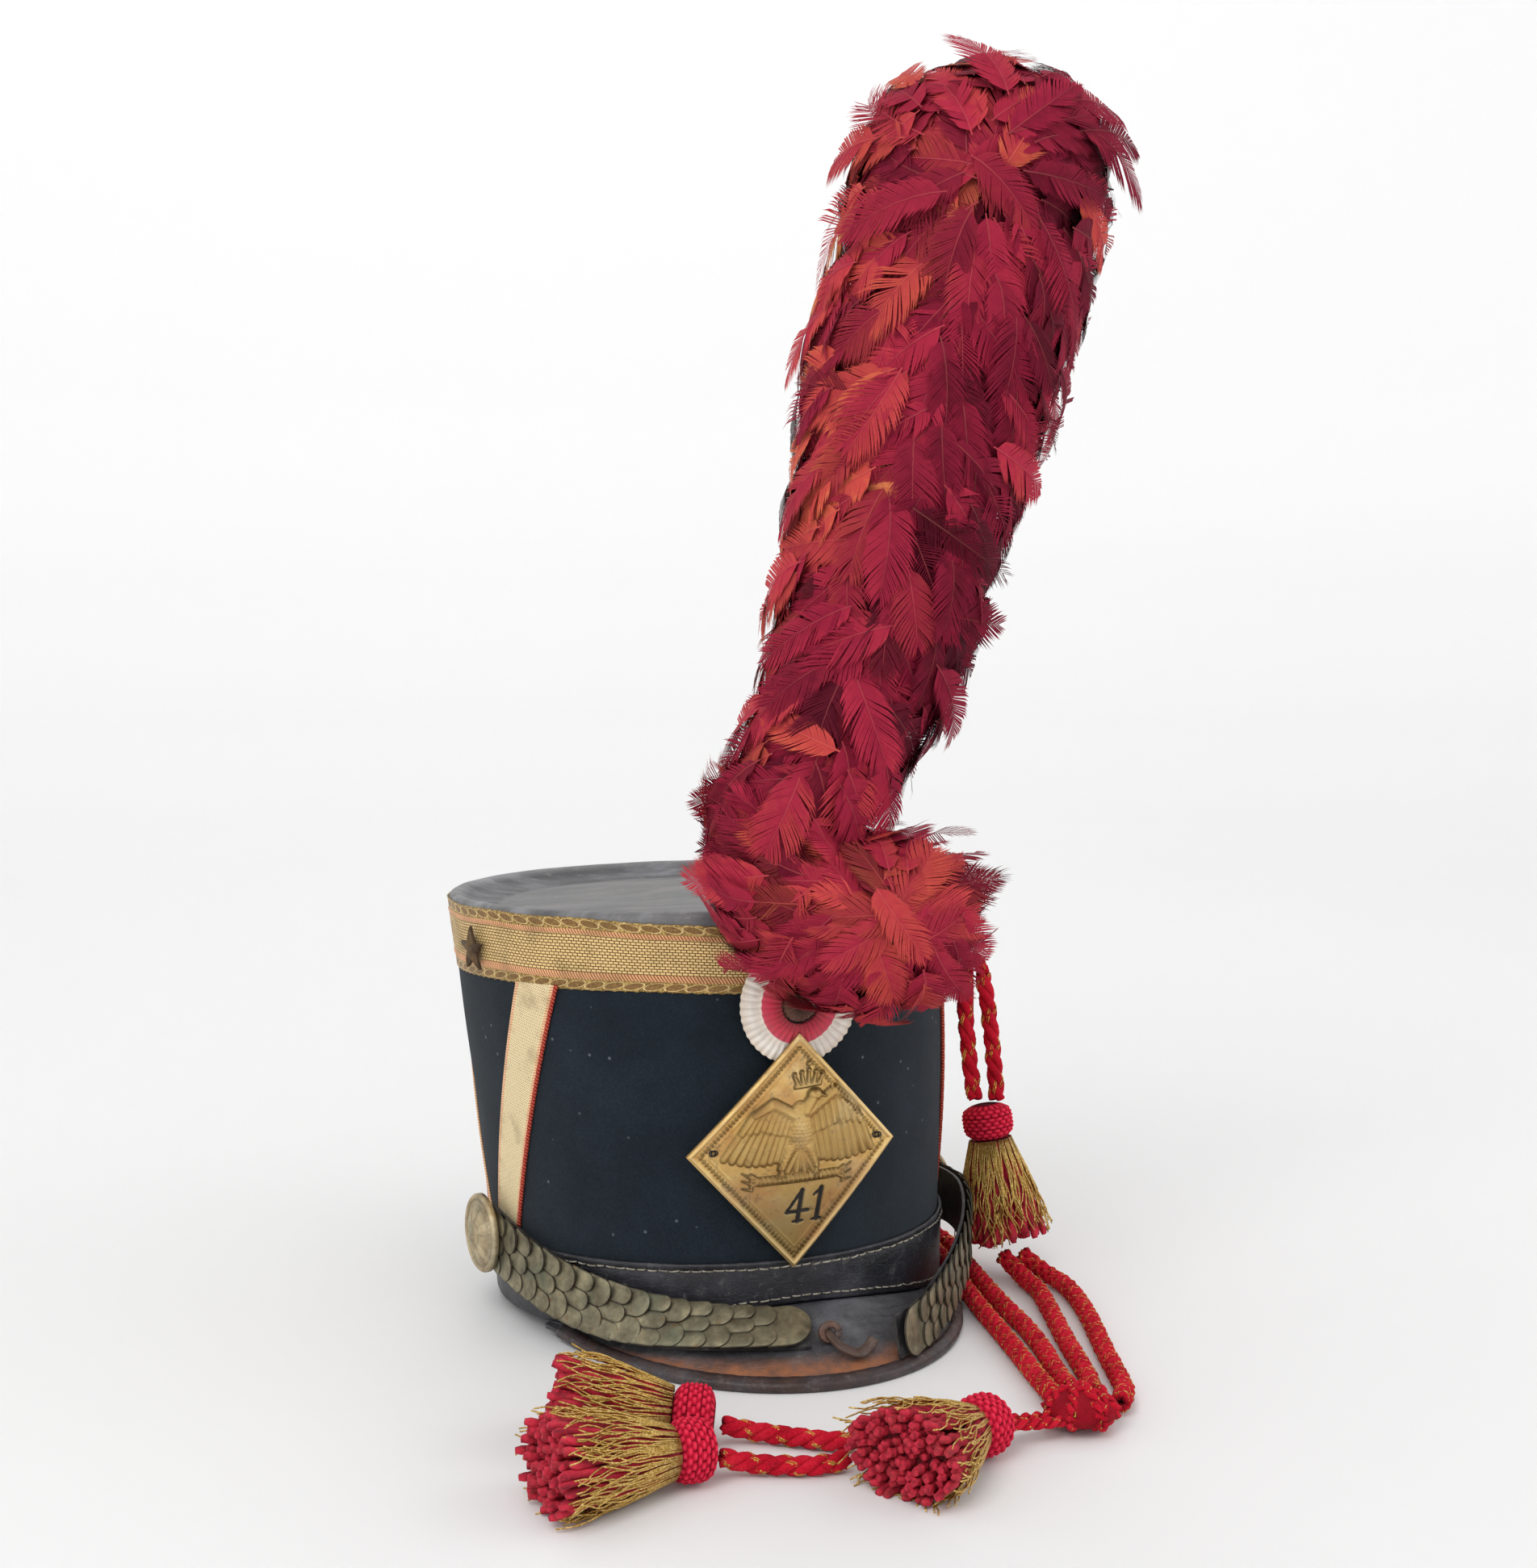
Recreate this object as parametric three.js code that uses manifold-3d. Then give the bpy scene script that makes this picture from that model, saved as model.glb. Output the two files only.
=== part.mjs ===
// A plumed infantry shako resting on a surface, in millimetres, +Z up, its front towards -Y.
// Left and right are as seen from the front.
import * as THREE from 'three';
import * as BufferGeometryUtils from 'three/addons/utils/BufferGeometryUtils.js';
import Module from 'manifold-3d';

const wasm = await Module();
wasm.setup();

const { Vector2, Vector3, Matrix4, CatmullRomCurve3 } = THREE;
const rad = THREE.MathUtils.degToRad;
const smooth = THREE.MathUtils.smoothstep;

// ---- driving dimensions ----
const baseRadius = 112.3; // outside of the crown at its lower edge
const topRadius = 127.5; // outside of the crown at its upper edge
const crownHeight = 203.7;
const wallThickness = 3;
const lean = -0.0375; // the old crown has settled sideways, by this much of its height
const hatTilt = rad(2.75); // the hat rests on the edge of its peak and the back of its rim
const gap = 0.3; // clearance between touching pieces

const collarLow = 190; // the leather top turns down over the wall to here
const laceLow = 167.6;
const laceHigh = 201.8;
const laceThickness = 1;
const laceDip = 6; // the top lace sags this much at the front
const stripWidth = 25;
const stripThickness = 0.9;
const bandHigh = 36.6;
const bandThickness = 2;
const floorPress = 1.2; // how far the back of the leather rim is flattened by the floor

const archHalfAngle = 68; // the peak is sewn on within this angle either side of the front
const archHeight = 15;
const peakReach = 45;
const peakSkew = 3;
const peakThickness = 2.6;
const peakEdgeHeight = 2.3; // middle of the peak's outer edge, above the floor

const bossAngle = 92;
const bossHeight = 31;
const bossRadius = 19.5;

const strapThickness = 1.5;
const scalePairs = 8; // each holds two rows of scales
const scaleThickness = 0.9;
const scaleLength = 15.4;
const scaleLift = 1.2; // of a scale's root above the strap
const scaleRise = 0.13; // slope of a scale above the strap

const plateHalfWidth = 52;
const plateHalfHeight = 57.3;
const plateBend = 200; // radius that the plate is bent to
const cockadeRadius = 29;

const cordDiameter = 9.4;
const tasselCordDiameter = 8.6;
const ropeDiameter = 9;
const headRadius = 13.5;
const headLength = 18;

// ---- solids ----

// Closes a row of rings, all with as many points, into one body whose faces point out.
function loft(rings, closed = false) {
  const count = rings[0].length;
  const points = rings.flat().flatMap((p) => [p.x, p.y, p.z]);
  const triangles = [];
  const spans = closed ? rings.length : rings.length - 1;
  for (let i = 0; i < spans; i++) {
    const here = i * count;
    const next = ((i + 1) % rings.length) * count;
    for (let j = 0; j < count; j++) {
      const k = (j + 1) % count;
      triangles.push([here + j, here + k, next + k], [here + j, next + k, next + j]);
    }
  }
  if (!closed) {
    const last = (rings.length - 1) * count;
    for (const [a, b, c] of capTriangles(rings[0])) triangles.push([a, c, b]);
    for (const [a, b, c] of capTriangles(rings.at(-1))) triangles.push([last + a, last + b, last + c]);
  }
  const geometry = new THREE.BufferGeometry();
  geometry.setAttribute('position', new THREE.Float32BufferAttribute(points, 3));
  geometry.setIndex(triangles.flat());
  return facingOut(geometry);
}

function facingOut(geometry) {
  if (signedVolume(geometry) > 0) return geometry;
  const order = geometry.index.array;
  for (let i = 0; i < order.length; i += 3) [order[i + 1], order[i + 2]] = [order[i + 2], order[i + 1]];
  return geometry;
}

// Triangles that fill a ring, each turning the way the ring does.
function capTriangles(ring) {
  const normal = new Vector3();
  ring.forEach((p, i) => normal.add(new Vector3().crossVectors(p, ring[(i + 1) % ring.length])));
  normal.normalize();
  const across = new Vector3().subVectors(ring[1], ring[0]).projectOnPlane(normal).normalize();
  const along = new Vector3().crossVectors(normal, across);
  const flat = ring.map((p) => new Vector2(p.dot(across), p.dot(along)));
  return THREE.ShapeUtils.triangulateShape(flat, []).map(([a, b, c]) => {
    const ab = flat[b].clone().sub(flat[a]);
    const ac = flat[c].clone().sub(flat[a]);
    return ab.cross(ac) < 0 ? [a, c, b] : [a, b, c];
  });
}

function signedVolume(geometry) {
  const at = (i) => new Vector3().fromBufferAttribute(geometry.attributes.position, geometry.index.getX(i));
  let volume = 0;
  for (let i = 0; i < geometry.index.count; i += 3) {
    volume += at(i).dot(new Vector3().crossVectors(at(i + 1), at(i + 2))) / 6;
  }
  return volume;
}

function toSolid(geometry) {
  const bare = geometry.clone();
  bare.deleteAttribute('normal');
  bare.deleteAttribute('uv');
  const merged = BufferGeometryUtils.mergeVertices(bare, 1e-4);
  return new wasm.Manifold(new wasm.Mesh({
    numProp: 3,
    vertProperties: new Float32Array(merged.attributes.position.array),
    triVerts: new Uint32Array(merged.index.array),
  }));
}

function toGeometry(solid) {
  const mesh = solid.getMesh();
  const geometry = new THREE.BufferGeometry();
  geometry.setAttribute('position', new THREE.BufferAttribute(mesh.vertProperties, 3));
  geometry.setIndex(new THREE.BufferAttribute(mesh.triVerts, 1));
  return geometry;
}

const join = (...parts) => toGeometry(parts.map(toSolid).reduce((a, b) => a.add(b)));
const cut = (whole, ...tools) => toGeometry(tools.map(toSolid).reduce((a, b) => a.subtract(b), toSolid(whole)));

// A round body about +Z from a profile of [radius, height] points.
function turned(profile, sides = 32) {
  const points = profile.map(([radius, height]) => new Vector2(radius, height));
  return facingOut(new THREE.LatheGeometry(points, sides).rotateX(Math.PI / 2));
}

// A tube of changing width through points, closed at both ends.
function swelling(points, radii, sides, steps) {
  const curve = new CatmullRomCurve3(points, false, 'centripetal');
  const frames = curve.computeFrenetFrames(steps);
  const sizes = new CatmullRomCurve3(radii.map((r, i) => new Vector3(r, i, 0)));
  const rings = [];
  for (let i = 0; i <= steps; i++) {
    const centre = curve.getPoint(i / steps);
    const radius = sizes.getPoint(i / steps).x;
    rings.push(circle(centre, frames.normals[i], frames.binormals[i], radius, sides));
  }
  return loft(rings);
}

function circle(centre, across, up, radius, sides) {
  return Array.from({ length: sides }, (_, j) => {
    const turn = (2 * Math.PI * j) / sides;
    return centre.clone().addScaledVector(across, radius * Math.cos(turn)).addScaledVector(up, radius * Math.sin(turn));
  });
}

// A round cord of one diameter along its route.
function cordTube(route, diameter, steps, sides = 8) {
  const section = new THREE.Shape();
  section.absarc(0, 0, diameter / 2, 0, 2 * Math.PI);
  return new THREE.ExtrudeGeometry(section, {
    steps,
    curveSegments: sides / 2,
    extrudePath: new CatmullRomCurve3(route, false, 'centripetal'),
  });
}

const v = (x, y, z) => new Vector3(x, y, z);

// ---- the crown's wall: places on it are an angle from the front, a height and a distance off it ----

const wallRadius = (height) => baseRadius + ((topRadius - baseRadius) * height) / crownHeight;
const wallSlope = Math.atan((topRadius - baseRadius) / crownHeight);

function wallPoint(angle, height, off = 0) {
  return aroundAxis(angle, height, wallRadius(height) + off);
}

function aroundAxis(angle, height, radius) {
  const turn = rad(angle);
  return v(radius * Math.sin(turn) + lean * height, -radius * Math.cos(turn), height);
}

function wallRing(low, high, inner, outer, steps = 60) {
  const rings = [];
  for (let i = 0; i < steps; i++) {
    const angle = (360 * i) / steps - 180;
    rings.push([
      wallPoint(angle, low(angle), inner),
      wallPoint(angle, high(angle), inner),
      wallPoint(angle, high(angle), outer),
      wallPoint(angle, low(angle), outer),
    ]);
  }
  return loft(rings, true);
}

// Sets a mesh on the wall: its own z points outward, its y up the wall.
function seat(mesh, angle, height, off, turn = 0, pitch = wallSlope) {
  const side = rad(angle);
  const outward = v(Math.sin(side) * Math.cos(pitch), -Math.cos(side) * Math.cos(pitch), -Math.sin(pitch));
  const across = v(Math.cos(side), Math.sin(side), 0);
  const up = new Vector3().crossVectors(outward, across);
  mesh.quaternion.setFromRotationMatrix(new Matrix4().makeBasis(across, up, outward));
  mesh.rotateZ(rad(turn));
  mesh.position.copy(wallPoint(angle, height, off));
  return mesh;
}

// ---- materials ----

const finish = (color, roughness, metalness = 0) => new THREE.MeshStandardMaterial({ color, roughness, metalness });
const darkCloth = finish('#191e28', 0.95);
const blackLeather = finish('#2b2c30', 0.5);
const greyLeather = finish('#5f6064', 0.55);
const goldLace = finish('#a8864a', 0.6, 0.3);
const plateBrass = finish('#b08a3c', 0.3, 1);
const agedBrass = finish('#6a624c', 0.5, 1);
const whiteRibbon = finish('#d8d2c8', 0.9);
const brownRibbon = finish('#4a2c1c', 0.9);
const redFeather = finish('#a8203a', 0.9);
const redCord = finish('#b5182c', 0.9);
const bullion = finish('#7c6a3c', 0.6, 0.3);

function piece(name, geometry, material) {
  const mesh = new THREE.Mesh(geometry, material);
  mesh.name = name;
  return mesh;
}

// ---- the hat's own group, tilted back as it rests ----

const hat = new THREE.Group();
hat.rotation.x = -hatTilt;
hat.position.z = baseRadius * Math.sin(hatTilt);
hat.updateMatrixWorld(true);
const toHat = hat.matrixWorld.clone().invert();
const inHat = (x, y, z) => v(x, y, z).applyMatrix4(toHat);

// The floor as a slab in the hat's own coordinates, to flatten leather that rests on it.
const floorSlab = new THREE.BoxGeometry(600, 600, 40).translate(0, 0, -20).applyMatrix4(toHat);

// ---- crown ----

function crownParts() {
  const body = wallRing(() => 3, () => collarLow - gap, -wallThickness, 0);
  const edge = wallRadius(crownHeight - 3);
  const lid = turned([
    [0, 197], [103, 197], [112, 198.2], [119, 201.6], [122, crownHeight], [125, crownHeight + 0.3],
    [edge - 0.3, crownHeight - 1.5], [edge, crownHeight - 4], [wallRadius(collarLow), collarLow],
    [wallRadius(collarLow) - wallThickness, collarLow], [121, 196.5], [113, 195.2], [0, 194.6],
  ], 56);
  lid.applyMatrix4(new Matrix4().set(1, 0, lean, 0, 0, 1, 0, 0, 0, 0, 1, 0, 0, 0, 0, 1));
  return [piece('crown', body, darkCloth), piece('crownTop', lid, greyLeather)];
}

const frontDip = (angle) => laceDip * Math.exp(-((angle / 32) ** 2));

function topLace() {
  const low = (angle) => laceLow - frontDip(angle) * 0.35;
  const high = (angle) => laceHigh - frontDip(angle);
  return piece('topLace', wallRing(low, high, gap, gap + laceThickness), goldLace);
}

// One strip of a side chevron, from the top lace down to the boss.
function chevronStrip(name, topAngle, bottomAngle) {
  const top = laceLow - 1.2;
  const bottom = bandHigh + 1;
  const steps = 9;
  const rings = [];
  for (let i = 0; i <= steps; i++) {
    const height = top + ((bottom - top) * i) / steps;
    const middle = topAngle + ((bottomAngle - topAngle) * i) / steps;
    const half = THREE.MathUtils.radToDeg(stripWidth / 2 / wallRadius(height));
    const angles = [-1, -0.5, 0, 0.5, 1].map((s) => middle + s * half);
    rings.push([
      ...angles.map((a) => wallPoint(a, height, gap + stripThickness)),
      ...angles.reverse().map((a) => wallPoint(a, height, gap)),
    ]);
  }
  return piece(name, loft(rings), goldLace);
}

function star(name, angle) {
  const outline = new THREE.Shape();
  for (let i = 0; i < 10; i++) {
    const radius = i % 2 ? 4.6 : 11.5;
    const turn = Math.PI / 2 + (i * Math.PI) / 5;
    outline[i ? 'lineTo' : 'moveTo'](radius * Math.cos(turn), radius * Math.sin(turn));
  }
  const bevel = { depth: 0.8, bevelThickness: 1, bevelSize: 0.8, bevelOffset: -0.8, bevelSegments: 1 };
  return seat(piece(name, new THREE.ExtrudeGeometry(outline, bevel), agedBrass), angle, 181, 3);
}

// ---- leather band, peak and binding ----

const withinArch = (angle) => Math.cos(rad(90 * Math.min(Math.abs(angle) / archHalfAngle, 1))) ** 2;
const bandLow = (angle) => archHeight * withinArch(angle) - floorPress * smooth(Math.abs(angle), 60, 150);

function lowerBand() {
  const ring = wallRing(bandLow, () => bandHigh, gap, gap + bandThickness, 72);
  return piece('lowerBand', cut(ring, floorSlab), blackLeather);
}

const peakAngles = Array.from({ length: 25 }, (_, i) => -66 + (132 * i) / 24);

// The peak's section at an angle: its inner and outer ends, and the directions along and through it.
function peakSection(angle) {
  const reach = 4 + peakReach * Math.cos(rad(90 * THREE.MathUtils.clamp((angle - peakSkew) / 70, -1, 1))) ** 2;
  const innerHeight = archHeight * withinArch(angle) - gap - peakThickness * 0.6;
  const inner = wallPoint(angle, innerHeight, gap + peakThickness * 0.4);
  const outerRadius = wallRadius(0) + reach;
  const ends = aroundAxis(angle, 0, outerRadius);
  const outer = inHatOn(ends, peakEdgeHeight + 3 * smooth(Math.abs(angle), 45, 66));
  const along = outer.clone().sub(inner).normalize();
  const side = v(Math.cos(rad(angle)), Math.sin(rad(angle)), 0);
  const through = new Vector3().crossVectors(side, along).negate();
  if (through.z < 0) through.negate();
  return { inner, outer, along, through };
}

// The point at the same place in plan whose height above the floor is given.
function inHatOn(point, height) {
  const local = (height + point.y * Math.sin(hatTilt) - baseRadius * Math.sin(hatTilt)) / Math.cos(hatTilt);
  return v(point.x, point.y, local);
}

function peak() {
  const rings = peakAngles.map((angle) => {
    const { inner, outer, through } = peakSection(angle);
    const half = peakThickness / 2;
    const across = [0, 0.3, 0.65, 1].map((s) => {
      const crowned = 1.6 * Math.sin(Math.PI * s) * withinArch(angle);
      return inner.clone().lerp(outer, s).addScaledVector(through, crowned);
    });
    return [
      ...across.map((p) => p.clone().addScaledVector(through, half)),
      ...across.reverse().map((p) => p.clone().addScaledVector(through, -half)),
    ];
  });
  return piece('peak', loft(rings), blackLeather);
}

// A binding folded round the peak's outer edge.
function peakBinding() {
  const section = [
    [-4, 2.7], [0.2, 2.8], [2.4, 0], [0.2, -2.8], [-4, -2.7],
    [-4, -1.9], [0.4, -1.7], [0.4, 1.7], [-4, 1.9],
  ];
  const rings = peakAngles.slice(2, -2).map((angle) => {
    const { outer, along, through } = peakSection(angle);
    return section.map(([u, w]) => outer.clone().addScaledVector(along, u).addScaledVector(through, w));
  });
  return piece('peakBinding', cut(loft(rings), floorSlab), blackLeather);
}

// ---- front plate and cockade ----

function frontPlate() {
  const rings = [];
  const steps = 16;
  for (let i = 0; i <= steps; i++) {
    const up = plateHalfHeight * ((2 * i) / steps - 1);
    const half = plateHalfWidth * (1 - Math.abs(up) / plateHalfHeight) + 0.5;
    const across = [-1, -0.6, -0.25, 0.25, 0.6, 1].map((s) => s * half);
    rings.push([
      ...across.map((x) => v(x, up, 1 - (x * x) / (2 * plateBend))),
      ...across.reverse().map((x) => v(x, up, -(x * x) / (2 * plateBend))),
    ]);
  }
  return seat(piece('frontPlate', loft(rings), plateBrass), -0.5, 90, 5.8, 0.3, wallSlope + rad(3));
}

function cockade() {
  const rosette = turned([[9.5, 0], [cockadeRadius, 0], [cockadeRadius, 1.6], [19.5, 2.6], [9.5, 2.6], [9.5, 0]], 32);
  const centre = turned([[0, 0], [9.1, 0], [9.1, 2.2], [6, 3.2], [0, 3.6]], 24);
  return [
    seat(piece('cockadeRosette', rosette, whiteRibbon), 1, 160.5, 4.9),
    seat(piece('cockadeCentre', centre, brownRibbon), 1, 160.5, 4.9),
  ];
}

// A flat leather sleeve behind the cockade holds the foot of the plume.
const sleeveSize = { width: 12, height: 66, depth: 2.6 };

function plumeSleeve(grow = 0) {
  const box = new THREE.BoxGeometry(sleeveSize.width + grow, sleeveSize.height + grow, sleeveSize.depth + grow);
  return seat(piece('plumeSleeve', box, blackLeather), 1, 172, 3.1);
}

// ---- chin straps ----

// Middle line of each strap: angle from the front, height, radius from the crown's axis,
// and lay, how far its face leans back from upright, in degrees.
const leftStrap = [
  { angle: -87, height: 37.6, radius: 120.8, lay: 0 },
  { angle: -79, height: 33.6, radius: 120.4, lay: 2 },
  { angle: -70, height: 28.6, radius: 120.4, lay: 5 },
  { angle: -59, height: 21.5, radius: 120.8, lay: 9 },
  { angle: -48, height: 16, radius: 122.4, lay: 18 },
  { angle: -38, height: 12, radius: 125.2, lay: 34 },
  { angle: -28, height: 10.2, radius: 128.4, lay: 48 },
  { angle: -18, height: 9.3, radius: 131.4, lay: 54 },
  { angle: -9, height: 8.6, radius: 134.2, lay: 57 },
  { angle: -1.6, height: 7.8, radius: 136.6, lay: 58 },
];
const rightStrap = [
  { angle: 94, height: 31.5, radius: 120.4, lay: 0 },
  { angle: 83, height: 32.5, radius: 123, lay: -3 },
  { angle: 73, height: 32, radius: 126, lay: -4 },
  { angle: 63, height: 28.5, radius: 128, lay: -2 },
  { angle: 53, height: 22.5, radius: 130, lay: 0 },
  { angle: 44, height: 16, radius: 132, lay: 2 },
  { angle: 36.5, height: 12, radius: 135, lay: 3 },
  { angle: 30, height: 9.5, radius: 139.5, lay: 4 },
  { angle: 24, height: 7.6, radius: 145, lay: 5 },
  { angle: 18, height: 5.6, radius: 151, lay: 6 },
  { angle: 12.5, height: 4.2, radius: 156, lay: 6 },
];

// A strap's frame at a share of its length: along it, out of its face and across its width.
function strapLine(table) {
  const curve = new CatmullRomCurve3(table.map((row) => aroundAxis(row.angle, row.height, row.radius)), false, 'centripetal');
  const lays = new CatmullRomCurve3(table.map((row, i) => v(row.lay, i, 0)));
  const length = curve.getLength();
  const side = Math.sign(table[0].angle);
  function frameAt(share) {
    const at = THREE.MathUtils.clamp(share, 0, 1);
    const point = curve.getPointAt(at);
    const along = curve.getTangentAt(at);
    const lay = rad(lays.getPoint(curve.getUtoTmapping(at)).x);
    const upright = v(0, 0, 1).projectOnPlane(along).normalize();
    const flatOut = new Vector3().crossVectors(upright, along).multiplyScalar(side);
    const out = flatOut.clone().multiplyScalar(Math.cos(lay)).addScaledVector(upright, Math.sin(lay));
    const across = upright.clone().multiplyScalar(Math.cos(lay)).addScaledVector(flatOut, -Math.sin(lay));
    return { point, along, out, across };
  }
  return { frameAt, length };
}

const strapWidth = (share) => 30 - 7.5 * share;

function strapLeather(line, grow = 0) {
  const steps = 30;
  const rings = [];
  for (let i = 0; i <= steps; i++) {
    const share = i / steps;
    const { point, out, across } = line.frameAt(share);
    const half = strapWidth(share) / 2 - 1 + grow;
    const thick = strapThickness / 2 + grow;
    rings.push([[-half, -thick], [half, -thick], [half, thick], [-half, thick]].map(
      ([a, b]) => point.clone().addScaledVector(across, a).addScaledVector(out, b)));
  }
  return loft(rings);
}

// Outline of a row of scales: straight at its root, with rounded lobes at its free edge.
function scaleOutline(width, lobes, length) {
  const outline = new THREE.Shape();
  const lobe = width / lobes;
  outline.moveTo(0, -width / 2);
  outline.lineTo(length - lobe / 2, -width / 2);
  for (let i = 0; i < lobes; i++) {
    const middle = -width / 2 + lobe * (i + 0.5);
    outline.absarc(length - lobe / 2, middle, lobe / 2, -Math.PI / 2, Math.PI / 2);
  }
  outline.lineTo(0, width / 2);
  return outline;
}

// One row's plate on its strap; the next row's root lies under its lobes.
function scaleRow(line, start, lobes, grow = 0, length = scaleLength) {
  const share = start / line.length;
  const width = strapWidth(share) + 2 * grow;
  const plate = new THREE.ExtrudeGeometry(scaleOutline(width, lobes, length + grow), {
    depth: scaleThickness + 2 * grow, bevelEnabled: false, curveSegments: 3,
  });
  plate.translate(0, 0, strapThickness / 2 + scaleLift - grow);
  plate.applyMatrix4(new Matrix4().set(1, 0, 0, 0, 0, 1, 0, 0, scaleRise, 0, 1, 0, 0, 0, 0, 1));
  return plate.applyMatrix4(strapMatrix(line, share + 7 / line.length, share));
}

function strapMatrix(line, turnShare, placeShare) {
  const { along, out } = line.frameAt(turnShare);
  const { point } = line.frameAt(placeShare);
  const across = new Vector3().crossVectors(out, along);
  return new Matrix4().makeBasis(along, across, out).setPosition(point);
}

const endPlateLength = 21;
const firstScale = 8;

function scales(side, line) {
  const pitch = (line.length - firstScale - endPlateLength + 1) / (2 * scalePairs);
  const parts = [];
  let above = null;
  for (let pair = 0; pair < scalePairs; pair++) {
    const start = firstScale + 2 * pair * pitch;
    const rivet = new THREE.CylinderGeometry(1.6, 1.6, 2.2, 6).rotateX(Math.PI / 2).translate(pitch + 1.8, 0, 3.5);
    rivet.applyMatrix4(strapMatrix(line, (start + pitch) / line.length, start / line.length));
    const plates = join(scaleRow(line, start, 3), scaleRow(line, start + pitch, 2), rivet);
    parts.push(piece(`scales${side}${pair + 1}`, above ? cut(plates, above) : plates, agedBrass));
    above = scaleRow(line, start + pitch, 2, gap);
  }
  const start = line.length - endPlateLength + 1;
  const end = scaleRow(line, start, 1, 0, endPlateLength);
  parts.push(piece(`endPlate${side}`, cut(end, above), agedBrass));
  return parts;
}

function boss(name, line) {
  const dome = turned([
    [0, 0], [bossRadius - 1, 0], [bossRadius, 1], [bossRadius, 2.6], [bossRadius - 1.5, 3.4],
    [bossRadius - 3, 2.8], [10, 5.2], [5, 6.6], [0, 7],
  ], 24);
  const mesh = piece(name, dome, agedBrass);
  const { point, out } = line.frameAt(3 / line.length);
  mesh.quaternion.setFromUnitVectors(v(0, 0, 1), out);
  mesh.position.copy(point).addScaledVector(out, 4.7);
  return mesh;
}

function chinStraps() {
  const left = strapLine(leftStrap);
  const right = strapLine(rightStrap);
  return [
    piece('strapLeft', strapLeather(left), blackLeather),
    piece('strapRight', strapLeather(right), blackLeather),
    ...scales('Left', left),
    ...scales('Right', right),
    boss('bossLeft', left),
    boss('bossRight', right),
    tieThong(),
  ];
}

// A leather thong lies on the peak between the straps' end plates and holds them together.
const thongRoute = [
  { angle: 1.6, height: 7.4, radius: 139 },
  { angle: 2.4, height: 2.2, radius: 149 },
  { angle: 5, height: -1.2, radius: 154 },
  { angle: 7.6, height: 0.4, radius: 152 },
  { angle: 9, height: 3.2, radius: 151 },
];

function tieThong() {
  const route = thongRoute.map((row) => aroundAxis(row.angle, row.height, row.radius));
  return piece('tieThong', cordTube(route, 3.2, 8, 8), blackLeather);
}

// ---- plume: a column of feathers that bends over above the crown and curls up at its foot ----

const plumeColumn = [
  { x: -22, y: -141, z: 246, radius: 30 },
  { x: -14, y: -140, z: 268, radius: 38 },
  { x: 3, y: -139, z: 292, radius: 43 },
  { x: 27, y: -133, z: 336, radius: 51 },
  { x: 42, y: -126, z: 391, radius: 57 },
  { x: 59, y: -120, z: 446, radius: 62 },
  { x: 77, y: -115, z: 502, radius: 66 },
  { x: 92, y: -110, z: 552, radius: 66 },
  { x: 95, y: -109, z: 588, radius: 52 },
  { x: 96, y: -108, z: 606, radius: 22 },
];
const plumeCurl = [
  { x: -34, y: -142, z: 268, radius: 20 },
  { x: -26, y: -144, z: 246, radius: 36 },
  { x: -12, y: -148, z: 222, radius: 42 },
  { x: 12, y: -152, z: 212, radius: 45 },
  { x: 36, y: -155, z: 215, radius: 45 },
  { x: 54, y: -157, z: 221, radius: 30 },
];

function plume() {
  const tube = (table, sides, steps) => swelling(table.map((p) => inHat(p.x, p.y, p.z)), table.map((p) => p.radius), sides, steps);
  const feathers = join(tube(plumeColumn, 16, 18), tube(plumeCurl, 16, 10));
  const clearOfHat = turned([[0, 120], [wallRadius(120) + 3, 120], [topRadius + 3, crownHeight + 4], [0, crownHeight + 4]], 64);
  clearOfHat.applyMatrix4(new Matrix4().makeTranslation(lean * 190, 0, 0));
  const clearOfCockade = turned([[0, -14], [cockadeRadius + 1, -14], [cockadeRadius + 1, 4.6], [0, 4.6]], 32);
  const cockadeSpace = seat(new THREE.Mesh(clearOfCockade), 1, 160.5, 4.9);
  const sleeveSpace = plumeSleeve(2 * gap);
  const tools = [cockadeSpace, sleeveSpace].map((mesh) => {
    mesh.updateMatrix();
    return mesh.geometry.clone().applyMatrix4(mesh.matrix);
  });
  return piece('plume', cut(feathers, clearOfHat, ...tools), redFeather);
}

// ---- cords and tassels, laid on the surface; places are from the middle of the crown's foot ----

const hookAngle = 80;
const tasselTop = v(138, -31, 89.5);
const tasselFoot = v(145, -42, 18);

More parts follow.
